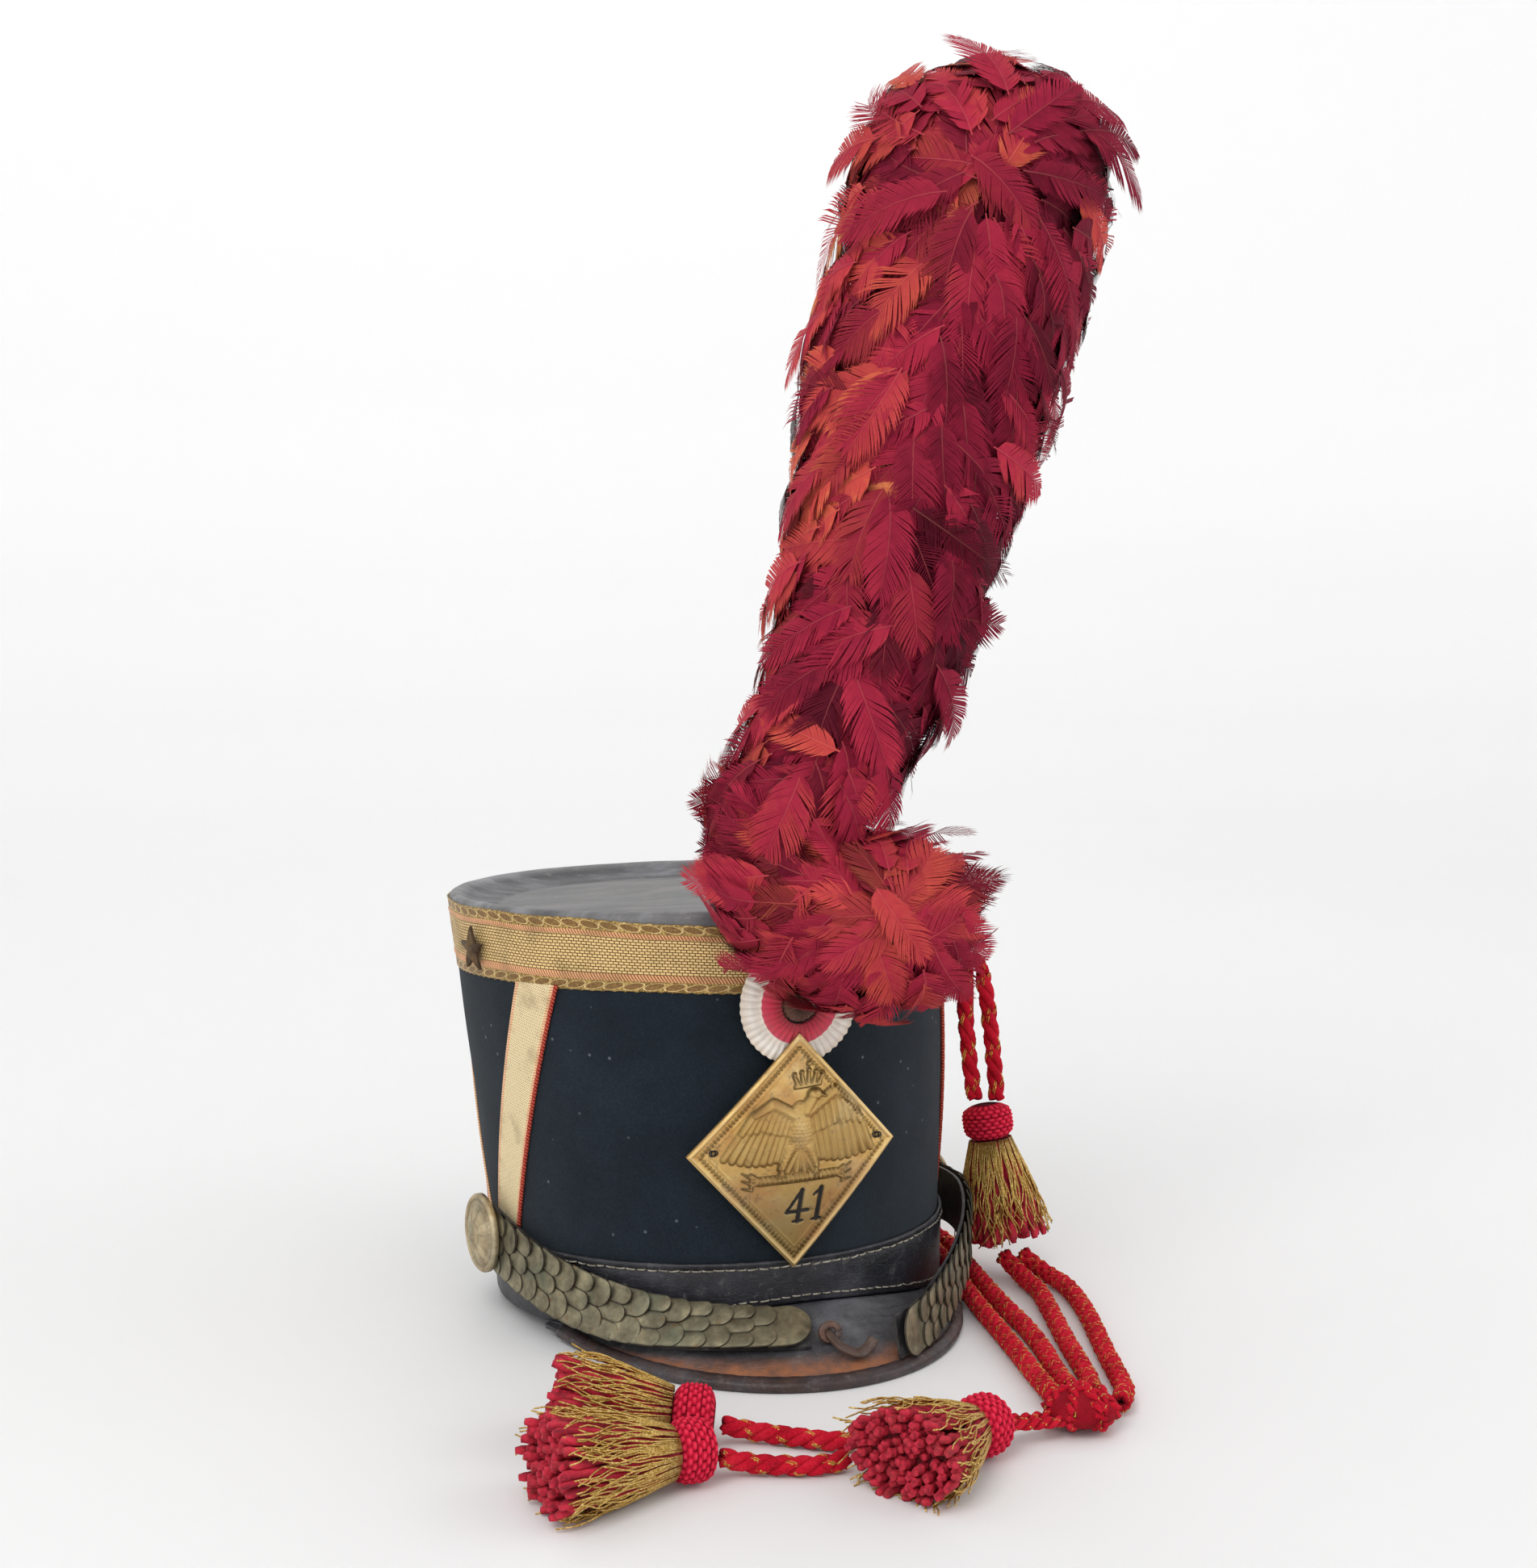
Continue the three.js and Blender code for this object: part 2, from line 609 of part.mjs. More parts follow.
const ropeRoutes = {
  ropeInner: [[130.6, -20, 157], [129.8, -21.5, 146], [130.2, -23.5, 131], [131, -26, 113], [132.6, -29, 92.4]],
  ropeOuter: [[140.2, -22, 157], [141.4, -24.2, 146], [142.4, -27, 131], [143, -30.4, 113], [143.6, -33.6, 92.4]],
};
const cordRoutes = {
  cordFrontOuter: [
    [151, -50, 12.4], [154.6, -57.4, 8.4], [157.6, -68, 5.6], [158.6, -84, 5], [154, -106, 5], [147.4, -128, 5],
    [139, -152, 5], [130.4, -176, 5], [122.4, -200, 5], [115, -220, 5.4], [104, -236, 7],
  ],
  cordFrontInner: [
    [140.4, -49, 12.4], [142.6, -57.6, 8.2], [143.4, -68, 5.6], [142, -86, 5], [135.6, -108, 5], [128.6, -130, 5],
    [121.6, -152, 5], [114.6, -176, 5], [107.4, -200, 5.2], [98, -222, 7],
  ],
  cordRearInner: [
    [120.4, 38, 152], [121, 33.4, 140], [121.8, 23.4, 118], [121.5, 17.8, 96], [120.4, 20.4, 74], [118.4, 28, 52],
    [117, 34.6, 34], [117.6, 35.6, 18], [119.6, 31, 8], [121.6, 20, 5.2], [121.6, 4, 5], [119.4, -16, 5], [114.6, -42, 5],
    [108.6, -70, 5], [102.8, -100, 5], [97.6, -130, 5], [91.4, -164, 5], [85.2, -196, 5.2], [80.4, -217, 7],
  ],
  cordRearOuter: [
    [117, 48.6, 152], [118.2, 44, 140], [119.8, 34.2, 118], [120, 28.6, 96], [118.6, 31, 74], [116, 38.4, 52],
    [114, 45, 34], [116.6, 46.8, 18], [123.4, 41, 8], [130, 28, 5.4], [132.6, 9, 5], [130.2, -16, 5], [125, -42, 5],
    [120, -70, 5], [115.2, -100, 5], [111.4, -130, 5], [105.4, -160, 5], [97, -190, 5.2], [91, -214, 7],
  ],
  cordTasselRear: [[-15, -232, 6], [-28, -226, 4.8], [-42, -215.6, 4.6], [-56, -206, 5.4], [-70, -202.4, 9]],
  cordTasselFront: [[-31, -246.4, 5.4], [-44, -246, 4.6], [-58, -241.4, 4.8], [-70, -236.4, 5.6], [-82.4, -234, 9]],
};

const asRoute = (points) => points.map(([x, y, z]) => v(x, y, z));

// Puts a geometry made along +Z at a point, its +Z along a direction and its y axis upward.
function layAlong(geometry, from, to) {
  const along = to.clone().sub(from).normalize();
  const level = Math.abs(along.z) > 0.9 ? v(1, 0, 0) : new Vector3().crossVectors(v(0, 0, 1), along).normalize();
  const up = new Vector3().crossVectors(along, level).normalize();
  const across = new Vector3().crossVectors(up, along);
  return geometry.applyMatrix4(new Matrix4().makeBasis(across, up, along).setPosition(from));
}

const tasselHead = () => turned([
  [0, 0], [8.5, 0], [12.4, 2.6], [headRadius, 6.5], [headRadius, 11.5], [12.2, 15.6], [8.6, headLength], [0, headLength],
], 16);

// A skirt of bullion: narrow where it leaves the head, opening to an oval foot.
function tasselSkirt(length, halfWidth, halfHeight) {
  const start = 10.5;
  const rings = [0, 0.12, 0.35, 0.7, 0.93, 1].map((share) => {
    const open = share < 0.93 ? share / 0.93 : 1 - (share - 0.93) * 2.2;
    const wide = start + (halfWidth - start) * open;
    const tall = start + (halfHeight - start) * open;
    return Array.from({ length: 16 }, (_, j) => {
      const turn = (2 * Math.PI * j) / 16;
      return v(wide * Math.cos(turn), tall * Math.sin(turn), share * length);
    });
  });
  return loft(rings);
}

const floor = new THREE.BoxGeometry(900, 900, 40).translate(0, 0, -20);

// Tassels that lie on the floor: the head's outer end, the foot of the skirt and its half sizes.
const lyingTassels = [
  { name: 'Side', head: v(36, -249, 13.4), foot: v(-24, -281, 18.5), halfWidth: 30, halfHeight: 19.5 },
  { name: 'Front', head: v(-86.6, -233.6, 13.4), foot: v(-162, -243, 20.5), halfWidth: 26, halfHeight: 21 },
  { name: 'Rear', head: v(-74, -203, 13.4), foot: v(-139, -176, 20), halfWidth: 22, halfHeight: 20.5 },
];

function tassel(name, from, to, halfWidth, halfHeight, lies = true) {
  const along = to.clone().sub(from).normalize();
  const neck = from.clone().addScaledVector(along, headLength + gap);
  const length = to.distanceTo(neck);
  const head = layAlong(tasselHead(), from, to);
  const skirt = layAlong(tasselSkirt(length, halfWidth, halfHeight), neck, to);
  return [
    piece(`tasselHead${name}`, lies ? cut(head, floor) : head, redCord),
    piece(`tasselSkirt${name}`, lies ? cut(skirt, floor) : skirt, bullion),
  ];
}

function cordKnot(cords) {
  const lump = new THREE.SphereGeometry(1, 16, 10).scale(20, 20, 9.8).translate(82, -240, 9.4);
  const ends = layAlong(new THREE.CylinderGeometry(6.4, 6.4, 40, 12).rotateX(Math.PI / 2).translate(0, 0, 20),
    v(80, -243, 8), v(36.6, -248.8, 12.6));
  return piece('cordKnot', cut(join(lump, ends), floor, ...cords), redCord);
}

function cords() {
  const parts = Object.entries(ropeRoutes).map(([name, route]) => piece(name, cordTube(asRoute(route), ropeDiameter, 4), redCord));
  const steps = { cordFrontOuter: 12, cordFrontInner: 11, cordRearInner: 20, cordRearOuter: 20, cordTasselRear: 4, cordTasselFront: 4 };
  for (const [name, route] of Object.entries(cordRoutes)) {
    const diameter = name.startsWith('cordTassel') ? tasselCordDiameter : cordDiameter;
    parts.push(piece(name, cordTube(asRoute(route), diameter, steps[name]), redCord));
  }
  const thicker = ['cordFrontOuter', 'cordFrontInner', 'cordRearInner', 'cordRearOuter'].map(
    (name) => cordTube(asRoute(cordRoutes[name]).slice(-4), cordDiameter + 2 * gap, 6));
  parts.push(cordKnot(thicker));
  parts.push(...tassel('Hanging', tasselTop, tasselFoot, 22.5, 22.5, false));
  for (const { name, head, foot, halfWidth, halfHeight } of lyingTassels) {
    parts.push(...tassel(name, head, foot, halfWidth, halfHeight));
  }
  return parts;
}

// The hook that the ropes hang from, and the tab that holds the rear cords' ends.
function cordHolders() {
  const hook = new THREE.CapsuleGeometry(2.6, 15, 3, 10).rotateX(Math.PI / 2 + 0.5).translate(0, -3, 7.6);
  const tab = new THREE.BoxGeometry(24, 9, 9);
  return [
    seat(piece('cordHook', hook, agedBrass), hookAngle, 167, 5.4),
    seat(piece('rearTab', tab, blackLeather), 106, 156.5, 5),
  ];
}

// ---- the whole, with its origin under the middle of everything but the cords ----

hat.add(
  ...crownParts(), topLace(),
  chevronStrip('laceLeftFront', -58, -82.6), chevronStrip('laceLeftRear', -125, -100.4),
  chevronStrip('laceRightFront', 58, 82.6), chevronStrip('laceRightRear', 125, 100.4),
  star('starLeft', -78), star('starRight', 78),
  lowerBand(), peak(), peakBinding(), frontPlate(), ...cockade(), plumeSleeve(),
  ...chinStraps(), plume(), ...cordHolders(),
);
const shako = new THREE.Group();
shako.add(hat, ...cords());
shako.updateMatrixWorld(true);
const middle = new THREE.Box3().setFromObject(hat, true).getCenter(new Vector3());
shako.position.set(-middle.x, -middle.y, 0);

export default shako;
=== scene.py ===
import math

import bpy
import numpy as np
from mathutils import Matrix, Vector


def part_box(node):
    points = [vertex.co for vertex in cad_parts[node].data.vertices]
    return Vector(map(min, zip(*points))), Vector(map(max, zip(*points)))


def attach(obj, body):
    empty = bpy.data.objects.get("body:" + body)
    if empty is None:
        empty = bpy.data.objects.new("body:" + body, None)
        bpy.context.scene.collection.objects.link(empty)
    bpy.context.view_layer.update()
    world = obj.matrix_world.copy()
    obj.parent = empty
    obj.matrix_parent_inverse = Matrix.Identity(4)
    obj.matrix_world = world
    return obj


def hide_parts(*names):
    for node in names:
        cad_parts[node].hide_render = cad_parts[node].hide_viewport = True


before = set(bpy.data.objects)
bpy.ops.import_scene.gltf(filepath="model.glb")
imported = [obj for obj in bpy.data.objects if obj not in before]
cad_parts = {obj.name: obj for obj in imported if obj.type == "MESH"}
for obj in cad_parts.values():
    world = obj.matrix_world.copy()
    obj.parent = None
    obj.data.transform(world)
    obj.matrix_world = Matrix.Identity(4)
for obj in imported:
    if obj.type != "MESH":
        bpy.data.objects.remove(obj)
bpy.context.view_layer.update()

# ---- places: all in millimetres from the middle of the crown's foot, then set in the frame ----

crownSize = {"baseRadius": 112.3, "topRadius": 127.5, "height": 203.7, "widestAt": 199.7, "lean": -0.0375,
             "tilt": math.radians(2.75)}


def findFoot():
    low, high = (np.array(corner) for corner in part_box("crownTop"))
    middle, widest = (low + high) / 2, crownSize["widestAt"] * 0.001
    return np.array([middle[0] - crownSize["lean"] * widest,
                     middle[1] - widest * math.sin(crownSize["tilt"]), 0.0])


foot = findFoot()


def toRow(points):
    return foot + np.asarray(points, float) * 0.001


def fromHat(points):  # the hat stands a little tilted back
    points = np.asarray(points, float)
    x, y, z = points[..., 0], points[..., 1], points[..., 2]
    cosine, sine = math.cos(crownSize["tilt"]), math.sin(crownSize["tilt"])
    return np.stack([x, y * cosine + z * sine, z * cosine - y * sine + crownSize["baseRadius"] * sine], -1)


def toHat(points):
    points = np.asarray(points, float)
    cosine, sine = math.cos(crownSize["tilt"]), math.sin(crownSize["tilt"])
    x, y, z = points[..., 0], points[..., 1], points[..., 2] - crownSize["baseRadius"] * sine
    return np.stack([x, y * cosine - z * sine, z * cosine + y * sine], -1)


def wallRadius(height):
    spread = crownSize["topRadius"] - crownSize["baseRadius"]
    return crownSize["baseRadius"] + spread * height / crownSize["height"]


def aroundAxis(angle, height, radius):  # angle in degrees from the front, towards the viewer's right
    turn = np.radians(angle)
    return np.stack(np.broadcast_arrays(
        radius * np.sin(turn) + crownSize["lean"] * height, -radius * np.cos(turn), height), -1)


def onWall(angle, height, off=0.0):
    return aroundAxis(angle, height, wallRadius(height) + off)


def smooth(value, low, high):
    share = np.clip((value - low) / (high - low), 0, 1)
    return share * share * (3 - 2 * share)


def unit(vectors):
    return vectors / np.maximum(np.linalg.norm(vectors, axis=-1, keepdims=True), 1e-9)


def waves(points, seed, size, octaves=3):  # soft bumps in space, about 1 high and size wide
    chance = np.random.default_rng(seed)
    total = np.zeros(points.shape[:-1])
    for octave in range(octaves):
        for _ in range(5):
            way = unit(chance.normal(size=3)) * (2 * math.pi / size) * 2 ** octave
            total += np.sin(points @ way + chance.uniform(0, 6.28)) * 0.5 ** octave
    return total / 4


# ---- meshes ----

class Pile:  # gathers bodies into one mesh, with a number at each point for each mark
    def __init__(self):
        self.points, self.faces, self.marks, self.count = [], [], [], 0

    def add(self, points, *faces, **marks):
        points = np.asarray(points, float).reshape(-1, 3)
        self.points.append(points)
        self.faces += [group.reshape(-1, group.shape[-1]) + self.count for group in map(np.asarray, faces)]
        self.marks.append({name: np.ravel(value) for name, value in marks.items()})
        self.count += len(points)

    def piece(self, name, finish, slot, *replaced, shaded=True):
        mesh = bpy.data.meshes.new(name)
        points = toRow(np.concatenate(self.points))
        mesh.vertices.add(len(points))
        mesh.vertices.foreach_set("co", points.ravel())
        corners = np.concatenate([group.ravel() for group in self.faces])
        sizes = np.concatenate([np.full(len(group), group.shape[1]) for group in self.faces])
        mesh.loops.add(len(corners))
        mesh.loops.foreach_set("vertex_index", corners)
        mesh.polygons.add(len(sizes))
        mesh.polygons.foreach_set("loop_start", np.concatenate([[0], np.cumsum(sizes)[:-1]]))
        mesh.polygons.foreach_set("loop_total", sizes)
        mesh.polygons.foreach_set("use_smooth", np.full(len(sizes), shaded))
        for mark in sorted(set().union(*self.marks)):
            layer = mesh.attributes.new(mark, "FLOAT", "POINT")
            parts = [np.asarray(marks.get(mark, 0.0), float) * np.ones(len(spot))
                     for marks, spot in zip(self.marks, self.points)]
            layer.data.foreach_set("value", np.concatenate(parts).astype(np.float32))
        mesh.update()
        mesh.validate()
        made = bpy.data.objects.new(name, mesh)
        bpy.context.collection.objects.link(made)
        made.data.materials.append(finish)
        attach(made, "root")
        if replaced:
            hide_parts(*replaced)
        return made


def grid(rows, columns, roundRows=False, roundColumns=False):
    i, j = np.meshgrid(np.arange(rows if roundRows else rows - 1),
                       np.arange(columns if roundColumns else columns - 1), indexing="ij")
    down, along = (i + 1) % rows, (j + 1) % columns
    return np.stack([i * columns + j, i * columns + along, down * columns + along, down * columns + j],
                    -1).reshape(-1, 4)


def repeated(faces, copies, stride):
    return (faces[None] + np.arange(copies)[:, None, None] * stride).reshape(-1, faces.shape[1])


skew = np.array([0.13, 0.21, 0.97])  # no strand runs just this way


def alongPaths(paths):  # a frame at each point of many lines: side and up
    forward = unit(np.gradient(paths, axis=-2))
    side = unit(np.cross(forward, np.broadcast_to(skew, paths.shape)))
    return side, np.cross(side, forward)


def tubes(paths, radii, sides=6):  # many round strands at once, with flat ends
    paths = np.asarray(paths, float)
    if paths.ndim == 2:
        paths = paths[None]
    radii = np.broadcast_to(radii, paths.shape[:2]).copy()
    side, up = alongPaths(paths)
    angles = np.arange(sides) * 2 * math.pi / sides
    ring = (side[:, :, None] * np.cos(angles)[:, None] + up[:, :, None] * np.sin(angles)[:, None])
    points = paths[:, :, None] + ring * radii[:, :, None, None]
    count, steps = paths.shape[:2]
    faces = repeated(grid(steps, sides, roundColumns=True), count, steps * sides)
    first = np.arange(sides)[::-1][None] + (np.arange(count) * steps * sides)[:, None]
    last = np.arange(sides)[None] + (np.arange(count) * steps * sides + (steps - 1) * sides)[:, None]
    return points.reshape(-1, 3), faces, first, last


def curveThrough(points, count):  # a smooth line through points, evenly stepped
    points = np.asarray(points, float)
    ends = np.concatenate([[2 * points[0] - points[1]], points, [2 * points[-1] - points[-2]]])
    pieces = []
    for a, b, c, d in zip(ends, ends[1:], ends[2:], ends[3:]):
        share = np.linspace(0, 1, 24, endpoint=False)[:, None]
        pieces.append(0.5 * (2 * b + (c - a) * share + (2 * a - 5 * b + 4 * c - d) * share ** 2
                             + (3 * b - a - 3 * c + d) * share ** 3))
    dense = np.concatenate(pieces + [points[-1:]])
    return evenly(dense, count)


def evenly(line, count):
    reach = np.concatenate([[0], np.cumsum(np.linalg.norm(np.diff(line, axis=0), axis=1))])
    wanted = np.linspace(0, reach[-1], count)
    return np.stack([np.interp(wanted, reach, line[:, k]) for k in range(line.shape[1])], -1)


def lengthOf(line):
    return float(np.linalg.norm(np.diff(line, axis=0), axis=1).sum())


# ---- finishes ----

class Wire:  # a socket's value, written into sums
    def __init__(self, finish, socket):
        self.finish, self.socket = finish, socket

    def sum(self, operation, first, second):
        return self.finish.node("ShaderNodeMath", {"operation": operation}, first, second)

    def __add__(self, other): return self.sum("ADD", self, other)
    def __radd__(self, other): return self.sum("ADD", other, self)
    def __sub__(self, other): return self.sum("SUBTRACT", self, other)
    def __rsub__(self, other): return self.sum("SUBTRACT", other, self)
    def __mul__(self, other): return self.sum("MULTIPLY", self, other)
    def __rmul__(self, other): return self.sum("MULTIPLY", other, self)
    def __pow__(self, other): return self.sum("POWER", self, other)
    def __gt__(self, other): return self.sum("GREATER_THAN", self, other)
    def __lt__(self, other): return self.sum("LESS_THAN", self, other)

    def clipped(self, low=0.0, high=1.0):  # 0 at low, 1 at high, and no further
        return self.finish.node("ShaderNodeMapRange", {"clamp": True}, self, low, high, 0.0, 1.0)

    def most(self, other): return self.sum("MAXIMUM", self, other)

    def sine(self): return self.finish.node("ShaderNodeMath", {"operation": "SINE"}, self)


class Finish:  # a material being made
    def __init__(self, name):
        self.material = bpy.data.materials.new(name)
        self.material.use_nodes = True
        self.tree = self.material.node_tree
        self.tree.nodes.clear()
        self.place = self.node("ShaderNodeTexCoord", output="Object")

    def node(self, kind, settings=None, *values, output=0, **named):
        made = self.tree.nodes.new(kind)
        for name, value in (settings or {}).items():
            if name == "stops":
                ramp = made.color_ramp
                while len(ramp.elements) < len(value):
                    ramp.elements.new(0.5)
                for element, (at, colour) in zip(ramp.elements, value):
                    element.position, element.color = at, tone(colour)
            else:
                setattr(made, name, value)
        feeds = list(zip(made.inputs, values))
        feeds += [(made.inputs[name], value) for name, value in named.items()]
        for socket, value in feeds:
            if isinstance(value, Wire):
                self.tree.links.new(value.socket, socket)
            elif value is not None:
                socket.default_value = value
        return Wire(self, made.outputs[output])

    def mark(self, name):
        return self.node("ShaderNodeAttribute", {"attribute_name": name}, output="Fac")

    def stretched(self, across, deep, tall):
        return self.node("ShaderNodeVectorMath", {"operation": "MULTIPLY"}, self.place,
                         (across, deep, tall))

    def noise(self, size, detail=3.0, roughness=0.55, at=None):  # size in metres
        return self.node("ShaderNodeTexNoise", None, Vector=at or self.place, Scale=1 / size, Detail=detail,
                         Roughness=roughness)

    def cells(self, size, feature="F1", at=None):
        return self.node("ShaderNodeTexVoronoi", {"feature": feature},
                         Vector=at or self.place, Scale=1 / size)

    def blend(self, first, second, share):
        made = self.tree.nodes.new("ShaderNodeMix")
        made.data_type, made.clamp_factor = "RGBA", True
        for socket, value in ((made.inputs[0], share), (made.inputs[6], first), (made.inputs[7], second)):
            if isinstance(value, Wire):
                self.tree.links.new(value.socket, socket)
            else:
                socket.default_value = tone(value) if isinstance(value, str) else value
        return Wire(self, made.outputs[2])

    def ramp(self, value, *stops):
        return self.node("ShaderNodeValToRGB", {"stops": stops}, value, output="Color")

    def bumped(self, height, distance, strength=1.0):
        return self.node("ShaderNodeBump", None, Height=height, Distance=distance, Strength=strength)

    def done(self, colour, roughness, normal=None, metallic=0.0, **fixed):
        given = {"Base Color": colour if isinstance(colour, Wire) else tone(colour), "Roughness": roughness,
                 "Metallic": metallic, **fixed}
        if normal is not None:
            given["Normal"] = normal
        return self.close(self.node("ShaderNodeBsdfPrincipled", None, **given))

    def close(self, surface):
        output = self.tree.nodes.new("ShaderNodeOutputMaterial")
        self.tree.links.new(surface.socket, output.inputs["Surface"])
        return self.material


def tone(text):  # a colour written as rrggbb, as the shader wants it
    if not isinstance(text, str):
        return text
    parts = [int(text[i:i + 2], 16) / 255 for i in (0, 2, 4)]
    return tuple(part / 12.92 if part <= 0.04045 else ((part + 0.055) / 1.055) ** 2.4
                 for part in parts) + (1.0,)


# ---- camera, room and light ----

eye = {"away": 1137, "height": 384.3, "round": math.radians(-19.5), "turn": -0.0227,
       "down": 0.1078, "lens": 51.46}


def addCamera():
    heading = eye["round"] + eye["turn"]
    ahead = Vector((-math.sin(heading) * math.cos(eye["down"]), math.cos(heading) * math.cos(eye["down"]),
                    -math.sin(eye["down"])))
    data = bpy.data.cameras.new("camera")
    data.lens, data.sensor_width = eye["lens"], 36
    camera = bpy.data.objects.new("camera", data)
    camera.location = toRow([eye["away"] * math.sin(eye["round"]),
                             -eye["away"] * math.cos(eye["round"]), eye["height"]])
    camera.rotation_mode = "QUATERNION"
    camera.rotation_quaternion = ahead.to_track_quat("-Z", "Y")
    bpy.context.collection.objects.link(camera)
    bpy.context.scene.camera = camera


room = {"floorTone": "ededed", "wallTone": "fafafa", "sky": 0.7, "lamps": [
    # name, place in metres, size, strength
    ("key", (-1.3, -1.5, 2.3), 1.5, 24),
    ("fill", (1.9, -1.2, 1.5), 1.6, 8),
    ("back", (0.4, 1.9, 2.1), 1.6, 9),
]}


def addRoom():
    plain = Finish("floorPaper")
    height = plain.node("ShaderNodeSeparateXYZ", None, plain.place, output="Z")
    share = (height + plain.noise(0.4, 2) * 0.02).clipped(0.03, 0.6)
    floorPaper = plain.done(plain.blend(room["floorTone"], room["wallTone"], share), 0.85)
    mesh = bpy.data.meshes.new("floor")
    rings, sides = [(0.0, 0.0), (1.6, 0.0), (1.85, 0.03), (2.1, 0.13), (2.3, 0.33), (2.42, 0.6),
                    (2.45, 2.3)], 72
    points = [(r * math.cos(a), r * math.sin(a), z) for r, z in rings
              for a in np.arange(sides) * 2 * math.pi / sides]
    mesh.from_pydata(points, [], grid(len(rings), sides, roundColumns=True).tolist())
    for face in mesh.polygons:
        face.use_smooth = True
    floor = bpy.data.objects.new("floor", mesh)
    floor.data.materials.append(floorPaper)
    bpy.context.collection.objects.link(floor)
    for name, place, size, strength in room["lamps"]:
        data = bpy.data.lights.new(name, "AREA")
        data.shape, data.size, data.energy = "DISK", size, strength
        lamp = bpy.data.objects.new(name, data)
        lamp.location = place
        lamp.rotation_mode = "QUATERNION"
        lamp.rotation_quaternion = (Vector((0, 0, 0.25)) - Vector(place)).to_track_quat("-Z", "Y")
        bpy.context.collection.objects.link(lamp)
    world = bpy.data.worlds.new("room")
    world.use_nodes = True
    world.node_tree.nodes["Background"].inputs["Color"].default_value = (1, 1, 1, 1)
    world.node_tree.nodes["Background"].inputs["Strength"].default_value = room["sky"]
    bpy.context.scene.world = world
    bpy.context.scene.view_settings.view_transform = "Standard"


addCamera()
addRoom()
print("camera, floor and light stand")

# ---- cords ----

cordLook = {"diameter": 9.4, "ropeDiameter": 9.0, "tasselDiameter": 8.6, "braidStep": 2.5,
            "braidPitch": 27.0}

ropeRoutes = {
    "ropeInner": [[130.6, -20, 157], [129.8, -21.5, 146], [130.2, -23.5, 131], [131, -26, 113],
                  [132.6, -29, 92.4]],
    "ropeOuter": [[140.2, -22, 157], [141.4, -24.2, 146], [142.4, -27, 131], [143, -30.4, 113],
                  [143.6, -33.6, 92.4]],
}
cordRoutes = {
    "cordFrontOuter": [
        [151, -50, 12.4], [154.6, -57.4, 8.4], [157.6, -68, 5.6], [158.6, -84, 5], [154, -106, 5],
        [147.4, -128, 5],
        [139, -152, 5], [130.4, -176, 5], [122.4, -200, 5], [115, -220, 5.4], [104, -236, 7]],
    "cordFrontInner": [
        [140.4, -49, 12.4], [142.6, -57.6, 8.2], [143.4, -68, 5.6], [142, -86, 5], [135.6, -108, 5],
        [128.6, -130, 5],
        [121.6, -152, 5], [114.6, -176, 5], [107.4, -200, 5.2], [98, -222, 7]],
    "cordRearInner": [
        [120.4, 38, 152], [121, 33.4, 140], [121.8, 23.4, 118], [121.5, 17.8, 96], [120.4, 20.4, 74],
        [118.4, 28, 52],
        [117, 34.6, 34], [117.6, 35.6, 18], [119.6, 31, 8], [121.6, 20, 5.2], [121.6, 4, 5],
        [119.4, -16, 5],
        [114.6, -42, 5], [108.6, -70, 5], [102.8, -100, 5], [97.6, -130, 5], [91.4, -164, 5],
        [85.2, -196, 5.2],
        [80.4, -217, 7]],
    "cordRearOuter": [
        [117, 48.6, 152], [118.2, 44, 140], [119.8, 34.2, 118], [120, 28.6, 96], [118.6, 31, 74],
        [116, 38.4, 52],
        [114, 45, 34], [116.6, 46.8, 18], [123.4, 41, 8], [130, 28, 5.4], [132.6, 9, 5], [130.2, -16, 5],
        [125, -42, 5], [120, -70, 5], [115.2, -100, 5], [111.4, -130, 5], [105.4, -160, 5], [97, -190, 5.2],
        [91, -214, 7]],
}
tasselCordRoutes = {
    "cordTasselRear": [[-15, -232, 6], [-28, -226, 4.8], [-42, -215.6, 4.6], [-56, -206, 5.4],
                       [-70, -202.4, 9]],
    "cordTasselFront": [[-31, -246.4, 5.4], [-44, -246, 4.6], [-58, -241.4, 4.8], [-70, -236.4, 5.6],
                        [-82.4, -234, 9]],
}


def woolFinish(name, deep, middle, light, gold="cfa045"):
    wool = Finish(name)
    fuzz = wool.noise(0.0009, 4, 0.7)
    patches = wool.noise(0.012, 3)
    red = wool.ramp(fuzz * 0.55 + patches * 0.45, (0.25, deep), (0.5, middle), (0.78, light))
    # painted shade: where a strand sinks into the cord, between the plies, the wool is blended towards the
    # deep red
    red = wool.blend(red, deep, (1 - wool.mark("height")).clipped(0.25, 1.0) * 0.75)
    glint = wool.noise(0.0006, 2)
    thread = wool.ramp(glint, (0.3, "93692b"), (0.5, gold), (0.7, "f2d07e"))
    goldness = wool.mark("gold").clipped(0.35, 0.6)
    colour = wool.blend(red, thread, goldness)
    hairs = wool.noise(0.0004, 5, 0.8)
    return wool.done(colour, 0.95 - 0.5 * goldness, wool.bumped(hairs, 0.0003, 0.6),
                     metallic=goldness * 0.6,
                     **{"Specular IOR Level": 0.18})


redWool = woolFinish("redWool", "560611", "c4122b", "e23547")


